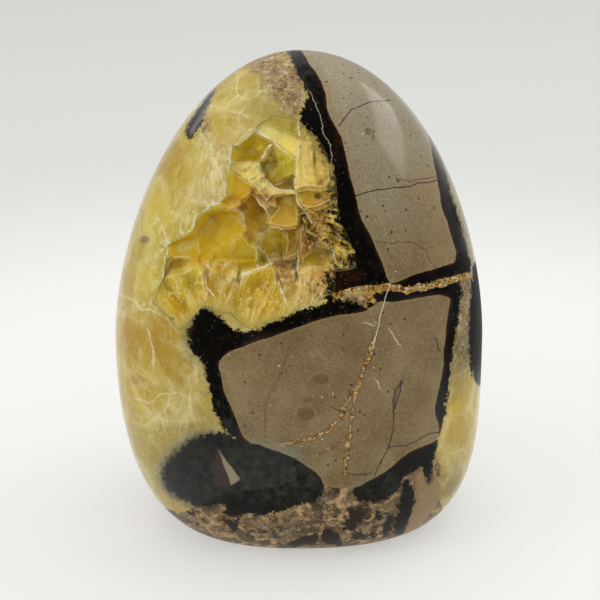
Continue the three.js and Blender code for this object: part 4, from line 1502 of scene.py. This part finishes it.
def calcite_colour(g):
    """Polished calcite: honey and gold clouds, pale veils and the pale edges of its crystals."""
    colour = g.ramp(g.noise(11, 1.0, 3.0, 0.5, warp=0.6), {
        0.3: (160, 126, 28), 0.44: (184, 152, 44), 0.56: (202, 174, 60), 0.7: (210, 190, 96)})
    # Crystals grown into each other, each of its own tint, with hazy borders.
    bent = g.shifted(g.place, 3.4, 7, 2.0)
    fine_bent = g.shifted(g.place, 1.8, 3, 3.0)
    _, tints = g.cells(11, bent)
    _, fine_tints = g.cells(6, fine_bent)
    edges = g.cell_edges(11, bent)
    cells = g.add(g.times(g.field("cells"), 0.5), 0.1)
    patchy = g.noise(6, 4.0, 2.0)
    line = g.times(g.share(edges, 0.035, 0.0), g.share(patchy, 0.4, 0.6), cells)
    fine_line = g.share(g.cell_edges(6, fine_bent), 0.1, 0.0)
    fine_line = g.times(fine_line, g.share(patchy, 0.46, 0.64), cells)
    haze = g.times(g.share(edges, 0.22, 0.0), g.share(g.noise(8, 15.0, 3.0), 0.4, 0.62))
    spot = g.share(g.add(g.field("spot"), g.times(g.less(patchy, 0.5), 0.8)), -0.3, 0.3)
    colour = g.coats(colour, [
        (g.field("lemon"), 0.85, (212, 192, 74)),
        (g.field("amber"), 1, (180, 138, 24)),
        (g.field("olive"), 0.8, (158, 146, 88)),
        (g.part(tints, 0), 0.3, (222, 202, 108)),
        (g.part(tints, 1), 0.3, (158, 122, 26)),
        (g.times(g.part(fine_tints, 1), cells), 0.5, (226, 210, 136)),
        (line, 1, (238, 228, 180)),
        (fine_line, 0.8, (226, 214, 160)),
        (haze, 0.5, (232, 218, 156)),
        (spot, 0.75, (112, 88, 66)),
    ])
    # Veins drawn one by one, the broken edge of the polish along the hollow, cloudy veils.
    fuzzy = g.wobble(1.6, 1.1, 9.0, 4.0, 0.7)
    vein_gaps = g.share(g.noise(2.5, 10.0, 3.0), 0.35, 0.65, 0.25, 0.8)
    broken = g.share(g.add(g.field("rim"), g.times(fuzzy, 1.8)), 0.4, 0.1)
    shady = g.share(g.noise(0.9, 61.0, 4.0, 0.75), 0.36, 0.56, 0.5, 1.0)
    cotton = g.stretched(g.shifted(g.place, 3, 5, 58.0), 1.0, 0.6, 0.55)
    cotton = g.share(g.noise(1.7, 59.0, 5.0, 0.7, cotton), 0.49, 0.6)
    beside_rim = g.share(g.add(g.field("rim"), g.times(g.noise(3, 60.0, 2.0), 3.0)), 7.5, 2.0)
    fibres = g.stretched(g.shifted(g.place, 2, 4, 20.0), 1, 0.3, 0.3)
    fibres = g.share(g.noise(0.9, 19.0, 3.0, 0.6, fibres), 0.42, 0.6, 0.1, 1.0)
    glint = g.times(g.share(g.noise(0.6, 17.0, 3.0, 0.8), 0.66, 0.72), g.share(patchy, 0.5, 0.62))
    colour = g.coats(colour, [
        (g.times(g.line("vein", fuzzy, 0.4, 0.05), vein_gaps), 1, (234, 224, 180)),
        (g.times(broken, g.field("rim_strength")), 0.7, (240, 228, 176)),
        (g.times(g.field("shade"), shady), 0.92, (78, 66, 46)),
        (g.times(cotton, beside_rim, g.field("rim_strength")), 0.7, (240, 230, 184)),
        (g.times(g.field("white"), fibres), 1, (232, 220, 164)),
        (g.share(g.noise(5, 5.0, 5.0, 0.62, warp=1.6), 0.52, 0.72), 0.28, (228, 214, 152)),
        (g.share(g.noise(4, 16.0, 4.0, 0.6, warp=1.0), 0.52, 0.7), 0.4, (150, 118, 30)),
        (glint, 0.8, (246, 240, 214)),
    ])
    # Tan, speckled stretches.
    tan = g.ramp(g.noise(1.1, 6.0, 5.0, 0.75), {
        0.36: (206, 190, 156), 0.46: (164, 138, 98), 0.55: (134, 106, 66), 0.64: (80, 56, 28)})
    yellower = g.share(g.noise(4, 57.0, 3.0, 0.6), 0.5, 0.7, 0.0, 0.45)
    tan = g.coats(tan, [(yellower, 1, (188, 164, 92))])
    reach = g.add(g.field("speckle"), g.wobble(1.6, 2.0, 7.0, 5.0, 0.7))
    fine = g.noise(0.6, 8.0, 4.0, 0.8)
    return g.coats(colour, [
        (g.share(reach, 0.3, 0.85), 1, tan),
        (g.share(fine, 0.5, 0.66, 0.0, 0.14), 1, (126, 94, 24)),
        (g.share(fine, 0.48, 0.34, 0.0, 0.14), 1, (244, 234, 190)),
    ])


def matrix_colour(g):
    """Grey-brown concretion rock, greyer and lighter towards the tip, partly as painted reflection."""
    colour = g.ramp(g.noise(9, 11.0, 4.0, 0.55), {
        0.32: (116, 94, 58), 0.5: (132, 111, 73), 0.7: (150, 130, 92)})
    grain = g.noise(0.5, 13.0, 3.0, 0.75)
    distance, tints = g.cells(1.8, g.shifted(g.place, 0.8, 1.2, 24.0))
    dot = g.times(g.share(distance, 0.24, 0.12), g.share(g.part(tints, 0), 0.62, 0.66))
    dot_tone = g.mix(g.share(g.part(tints, 1), 0.55, 0.65), tone(52, 34, 16), tone(134, 84, 36))
    glint = g.times(g.share(distance, 0.12, 0.07), g.share(g.part(tints, 1), 0.88, 0.9))
    streak = g.stretched(g.shifted(g.place, 3, 9, 25.0), 0.8, 0.25, 0.35)
    return g.coats(colour, [
        # Greyer and lighter with height: partly the rock's own tone, partly a painted reflection of
        # the bright studio above.
        (g.share(g.axis(g.place, "Z"), 60, 108, 0.0, 0.8), 1, (154, 146, 122)),
        (g.field("warm"), 0.5, (156, 126, 82)),
        (g.share(g.noise(3.2, 12.0, 4.0, 0.6), 0.56, 0.7), 0.4, (140, 100, 54)),
        (g.share(grain, 0.48, 0.66, 0.0, 0.4), 1, (92, 74, 44)),
        (g.share(grain, 0.48, 0.34, 0.0, 0.45), 1, (176, 160, 126)),
        (dot, 0.85, dot_tone),
        (glint, 1, (236, 230, 216)),
        (g.share(g.noise(2.4, 26.0, 4.0, 0.65, streak), 0.55, 0.75), 0.3, (104, 80, 44)),
        (g.share(g.noise(1.8, 62.0, 5.0, 0.75, streak), 0.6, 0.72), 0.45, (142, 104, 52)),
    ])


def breccia_colour(g):
    """Crushed rock in a tan cement."""
    bent = g.shifted(g.place, 2.6, 3.5, 21.0)
    _, tints = g.cells(6.5, bent)
    _, small_tints = g.cells(1.7, bent)
    large = g.ramp(g.part(tints, 0), {
        0.0: (128, 98, 66), 0.3: (112, 92, 60), 0.38: (24, 18, 12), 0.55: (148, 122, 88),
        0.68: (36, 26, 18), 0.95: (98, 84, 60)})
    small = g.ramp(g.part(small_tints, 1), {
        0.0: (176, 144, 104), 0.3: (84, 66, 42), 0.5: (196, 162, 116), 0.7: (30, 20, 12),
        0.9: (140, 128, 106)})
    cement = g.add(g.cell_edges(6.5, bent), g.wobble(0.4, 1.2, 27.0, 4.0, 0.8))
    pasty = g.share(g.noise(3, 29.0, 4.0, 0.7), 0.42, 0.58, 0.1, 1.0)
    _, grains = g.cells(0.8, g.shifted(g.place, 0.5, 0.7, 63.0))
    grit = g.noise(0.5, 22.0, 4.0, 0.75)
    return g.coats(large, [
        (g.share(g.noise(7, 23.0, 3.0), 0.44, 0.56), 0.75, small),
        (g.times(g.share(cement, 0.1, 0.02), pasty), 1, (200, 164, 116)),
        (g.share(g.part(grains, 0), 0.9, 0.94, 0.0, 0.4), 1, (206, 186, 152)),
        (g.share(g.part(grains, 1), 0.8, 0.84, 0.0, 0.35), 1, (28, 20, 12)),
        (g.share(grit, 0.52, 0.66, 0.0, 0.5), 1, (164, 138, 104)),
        (g.share(grit, 0.47, 0.36, 0.0, 0.65), 1, (34, 24, 14)),
        (g.share(grit, 0.68, 0.74, 0.0, 0.7), 1, (216, 204, 178)),
    ])


def black_colour(g, glitter, matrix):
    """Black aragonite: sparks, brown stains, grey mottling, partly a painted reflection, pale
    hairlines.
    """
    distance, tints = g.cells(0.6, g.shifted(g.place, 0.6, 0.8, 30.0))
    spark = g.times(g.share(distance, 0.42, 0.15), g.share(g.part(tints, 1), 0.82, 0.94),
                    g.share(g.noise(5, 39.0, 2.0), 0.4, 0.65, 0.15, 0.9))
    reddish = g.share(g.noise(1.6, 18.0, 4.0, 0.7), 0.4, 0.6, 0.15, 0.9)
    mottle = g.share(g.noise(2.2, 40.0, 5.0, 0.65), 0.4, 0.68)
    margin = g.times(g.share(matrix, -0.9, -0.15), g.share(matrix, 0.3, -0.1),
                     g.share(g.noise(3, 56.0, 3.0), 0.38, 0.62))
    hairline = g.line("pale", g.wobble(1.6, 1.4, 38.0, 4.0, 0.75), 0.15, 0.04)
    return g.coats(tone(5, 5, 4), [
        (glitter, 0.7, (46, 41, 34)),
        (g.times(spark, g.field("dull")), 1, (104, 100, 92)),
        (g.share(g.noise(2.4, 36.0, 4.0, 0.65), 0.5, 0.72), 0.5, (52, 32, 16)),
        (g.times(g.field("red"), reddish), 1, (62, 28, 12)),
        # Grey mottling, partly a painted reflection of the floor on the black.
        (g.times(mottle, g.field("grey")), 0.5, (70, 72, 64)),
        (hairline, 0.65, (188, 178, 150)),
        # Painted highlight streak along the black lens.
        (g.line("sheen", 0.0, 1.1, 0.1), 0.6, (136, 128, 128)),
        (margin, 0.6, (66, 34, 18)),
        (g.share(g.field("fragments"), -0.2, 0.3), 0.6, (58, 46, 36)),
    ])


def tan_colour(g):
    """The tan seam and its veins, grainy with dark and pale specks."""
    colour = g.ramp(g.noise(1.6, 37.0, 4.0, 0.75), {
        0.38: (104, 72, 26), 0.46: (168, 118, 36), 0.54: (190, 152, 84), 0.62: (150, 136, 92)})
    _, grains = g.cells(0.4, g.shifted(g.place, 0.3, 0.7, 63.0))
    return g.coats(colour, [
        (g.share(g.part(grains, 0), 0.72, 0.78, 0.0, 0.8), 1, (48, 36, 20)),
        (g.share(g.part(grains, 1), 0.86, 0.9, 0.0, 0.7), 1, (232, 222, 192)),
    ])


def rock_material():
    """The polished face of the nodule: calcite, broken rock, black aragonite and rock."""
    g = material_graph("polished rock")
    edge = g.less(g.noise(0.7, 31.0, 4.0, 0.7), 0.5)
    rough_edge = g.wobble(5.5, 1.3, 32.0, 5.0, 0.8)
    wander = g.wobble(0.7, 1.6, 38.0, 3.0, 0.6)

    def edged(name, amount):
        return g.add(g.field(name), g.times(edge, amount))

    matrix = edged("matrix", 0.5)
    breccia = edged("breccia", 2.2)
    in_matrix = g.share(matrix, -0.1, 0.14)
    beside_matrix = g.share(matrix, -2.2, -0.3)
    black = g.add(g.field("black"), g.times(rough_edge, g.less(1.0, beside_matrix)))
    soft = g.math("MINIMUM", g.field("fringe"), 1.0)
    in_black = g.blend(soft, g.share(black, -0.22, 0.3), g.share(black, -2.4, 0.6))
    tan = g.add(g.field("tan"), g.times(rough_edge, 0.1))
    tan = g.add(tan, g.share(g.noise(2.5, 28.0, 4.0), 0.3, 0.7, -0.2, 0.3))

    # A whitish fringe of needles lies along the black aragonite.
    needles = g.share(g.noise(0.7, 33.0, 4.0, 0.7), 0.3, 0.65, 0.3, 0.9)
    fringe = g.times(g.share(black, -4.2, -0.4), soft, needles)
    pink_tone = g.mix(g.noise(1.2, 34.0, 4.0, 0.7), tone(132, 106, 72), tone(174, 148, 112))
    glitter = g.share(g.noise(0.42, 35.0, 3.0, 0.8), 0.56, 0.74)
    colour = g.coats(calcite_colour(g), [
        (fringe, 1, (160, 158, 130)),
        (g.share(breccia, -0.25, 0.25), 1, breccia_colour(g)),
        (g.share(edged("pink", 1.6), -0.3, 0.3), 1, pink_tone),
        (in_black, 1, black_colour(g, glitter, matrix)),
        (g.share(edged("brown", 1.5), -0.5, 0.5), 1, (58, 40, 32)),
        (g.share(edged("window", 0.6), -0.2, 0.25), 1, (150, 138, 112)),
    ])
    tan_edge = g.times(g.share(tan, -0.35, -0.05), g.share(matrix, -0.1, 0.2))
    frost = g.times(g.share(black, -2.6, -0.2), soft, needles)
    matrix_tone = g.coats(matrix_colour(g), [
        (g.share(matrix, 0.9, 0.1), 0.35, (158, 136, 98)),
        (tan_edge, 0.6, (104, 68, 28)),
        (g.share(edged("spot", 0.8), -0.15, 0.25), 0.6, (98, 68, 20)),
        (g.line("dark", wander, 0.22, 0.08), 0.9, (48, 40, 30)),
        (g.line("rust", wander, 0.24, 0.05), 0.65, (96, 70, 38)),
        (g.line("pale", wander, 0.2, 0.05), 0.5, (168, 154, 118)),
        (frost, 0.95, (132, 136, 114)),
    ])
    colour = g.coats(colour, [
        (in_matrix, 1, matrix_tone),
        (g.share(tan, -0.05, 0.14), 1, tan_colour(g)),
        (g.line("white", wander, 0.2, 0.06), 0.8, (222, 212, 184)),
    ])

    crushed = g.times(g.share(breccia, -0.25, 0.25), 0.6)
    dull = g.math("MAXIMUM", g.times(g.field("dull"), in_black), crushed)
    calcite_share = g.times(g.less(1.0, in_matrix), g.less(1.0, in_black),
                            g.share(breccia, 0.25, -0.25))
    polish = g.blend(calcite_share, 0.26, 0.16)
    g.set(Base_Color=colour, Roughness=g.blend(dull, 0.14, 0.45), IOR=1.55,
          Specular_IOR_Level=g.blend(dull, polish, 0.03),
          Subsurface_Weight=g.times(calcite_share, 0.35),
          Subsurface_Radius=(0.0045, 0.0032, 0.001), Subsurface_Scale=1.0)
    g.bump(g.add(g.times(in_black, g.times(glitter, 0.6)), g.times(edge, 0.12)), 0.25, 0.12)
    return g.owner


def crust_material():
    """Calcite crystals in painted colours, with pale edges broad where a face overhangs, and a painted
    glow.
    """
    g = material_graph("calcite crystals")
    border = g.field("border")
    aragonite = g.field("aragonite")
    uneven = g.add(border, g.times(g.noise(0.8, 43.0, 4.0, 0.7), 0.9))
    fading = g.share(g.noise(3.5, 52.0, 2.0), 0.36, 0.6, 0.15, 1.0)
    jagged = g.add(uneven, g.times(g.noise(0.45, 53.0, 2.0, 0.7), 0.5))
    over = g.times(g.share(jagged, 1.62, 1.4), g.field("stands"), g.share(border, 0.4, 0.6),
                   g.blend(fading, 0.05, 0.45))
    # A faint painted glow along every crystal edge, for light that comes through the translucent
    # calcite.
    soft = g.times(g.share(border, 0.9, 0.0), fading)
    thin = g.times(g.share(uneven, 0.6, 0.45), g.share(g.field("depth"), 0.8, 2.0), fading)
    thread = g.add(g.field("thread"), g.wobble(3.5, 1.2, 54.0, 4.0, 0.75))
    broken = g.share(g.noise(1.3, 55.0, 4.0, 0.75), 0.36, 0.56, 0.2, 1.0)
    thread = g.times(g.share(g.math("ABSOLUTE", thread), 1.4, 0.4), g.field("thread_strength"),
                     broken)
    fine = g.times(g.share(g.field("gap"), 0.16, 0.04), g.share(g.noise(3, 44.0, 2.0), 0.46, 0.6))
    grit = g.noise(0.45, 46.0, 3.0, 0.7)
    rough = g.share(g.field("step"), 0.03, 0.12, 0.12, 0.4)
    colour = g.coats(g.field("crystal_colour", "Color"), [
        (over, 1, (240, 226, 170)),
        (soft, 0.15, (232, 212, 130)),
        (thin, 0.25, (238, 222, 160)),
        (thread, 1, (250, 244, 214)),
        (fine, 0.15, (236, 220, 160)),
        (g.times(g.share(grit, 0.5, 0.7), rough), 1, (112, 78, 20)),
        (g.times(g.share(grit, 0.45, 0.3), rough), 1, (250, 236, 184)),
    ])
    g.set(Base_Color=colour, Roughness=g.share(g.field("step"), 0.05, 0.3, 0.26, 0.42),
          IOR=1.56, Specular_IOR_Level=g.blend(aragonite, 0.1, 0.02),
          Subsurface_Weight=g.blend(aragonite, 0.5, 0.0),
          Subsurface_Radius=(0.004, 0.003, 0.0008), Subsurface_Scale=1.0)
    g.bump(g.noise(0.5, 47.0, 4.0, 0.65), 0.3, 0.1)
    return g.owner


def floor_material():
    """Pale floor with a painted glow and a painted pool of light: a little darker away from the
    object.
    """
    g = material_graph("pale floor")
    reach = g.vector("LENGTH", {0: g.place})["Value"]
    # Painted pool of light: the floor's colour and its painted glow fade away from the object.
    near, far = g.share(reach, *FLOOR_NEAR), g.share(reach, *FLOOR_FAR)
    colour = g.coats(tone(172, 172, 170), [(near, 1, (156, 156, 154)), (far, 1, (150, 150, 148))])
    glow = g.coats(tone(244, 244, 241), [(near, 1, (220, 220, 217)), (far, 1, (210, 210, 207))])
    g.set(Base_Color=colour, Roughness=0.7, Specular_IOR_Level=0.2, Emission_Color=glow,
          Emission_Strength=FLOOR_GLOW)
    return g.owner


# ---------------------------------------------------------------------------- the scene

def floor_piece():
    """A wide, round, pale floor."""
    turns = even_turns(FLOOR_SEGMENTS)
    ring = np.stack([np.cos(turns), np.sin(turns), np.zeros(FLOOR_SEGMENTS)], axis=1)
    vertices = np.concatenate([np.zeros((1, 3)), FLOOR_RADIUS * ring])
    faces = [(0, 1 + i, 1 + (i + 1) % FLOOR_SEGMENTS) for i in range(FLOOR_SEGMENTS)]
    piece = mesh_object("floor", vertices, faces)
    piece.data.materials.append(floor_material())


def look_angles(direction):
    """Turn of a light that looks along a direction."""
    x, y, z = direction / np.linalg.norm(direction)
    return math.acos(-z), 0, math.atan2(y, x) - math.pi / 2


def soft_light(name, place, target, size, power):
    """A large soft light, an oblong that faces a target."""
    data = bpy.data.lights.new(name, "AREA")
    data.shape = "RECTANGLE"
    data.size, data.size_y = size
    data.energy = power
    light = bpy.data.objects.new(name, data)
    light.location = place
    light.rotation_euler = look_angles(np.array(target) - np.array(place))
    bpy.context.scene.collection.objects.link(light)


def camera():
    """The camera of the photograph."""
    data = bpy.data.cameras.new("camera")
    data.sensor_width = 36
    data.lens = CAMERA_LENS
    data.shift_y = CAMERA_SHIFT
    made = bpy.data.objects.new("camera", data)
    made.location = CAMERA_PLACE
    made.rotation_euler = (math.pi / 2 - CAMERA_TILT, 0, 0)
    bpy.context.scene.collection.objects.link(made)
    bpy.context.scene.camera = made


def world():
    """A pale studio that is bright overhead and darker low down in front."""
    g = Graph(bpy.data.worlds.new("studio"), "Background")
    place = g.places["Generated"]
    slopes = [g.share(g.axis(place, axis), *slope) for axis, slope in WORLD_SLOPES.items()]
    g.set(Color=WORLD_COLOUR, Strength=g.add(*slopes))
    bpy.context.scene.world = g.owner


def dress(piece, material, sharp):
    """Gives a piece its material, and smooth faces but for edges sharper than an angle."""
    piece.data.materials.clear()
    piece.data.materials.append(material)
    piece.data.shade_smooth()
    piece.data.set_sharp_from_angle(angle=math.radians(sharp))


camera()
world()
floor_piece()
for light in LIGHTS:
    soft_light(*light)

nodule = cut(egg_piece(), hollow_piece(), "nodule_surface")
for name, values in pattern_fields(mesh_points(nodule)).items():
    set_field(nodule, name, values)
dress(nodule, rock_material(), 30)
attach(nodule, "root")
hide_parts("nodule")

crust = crust_piece()
dress(crust, crust_material(), 28)
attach(crust, "root")
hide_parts("calcite_crust")

bpy.context.scene.view_settings.view_transform = "Standard"
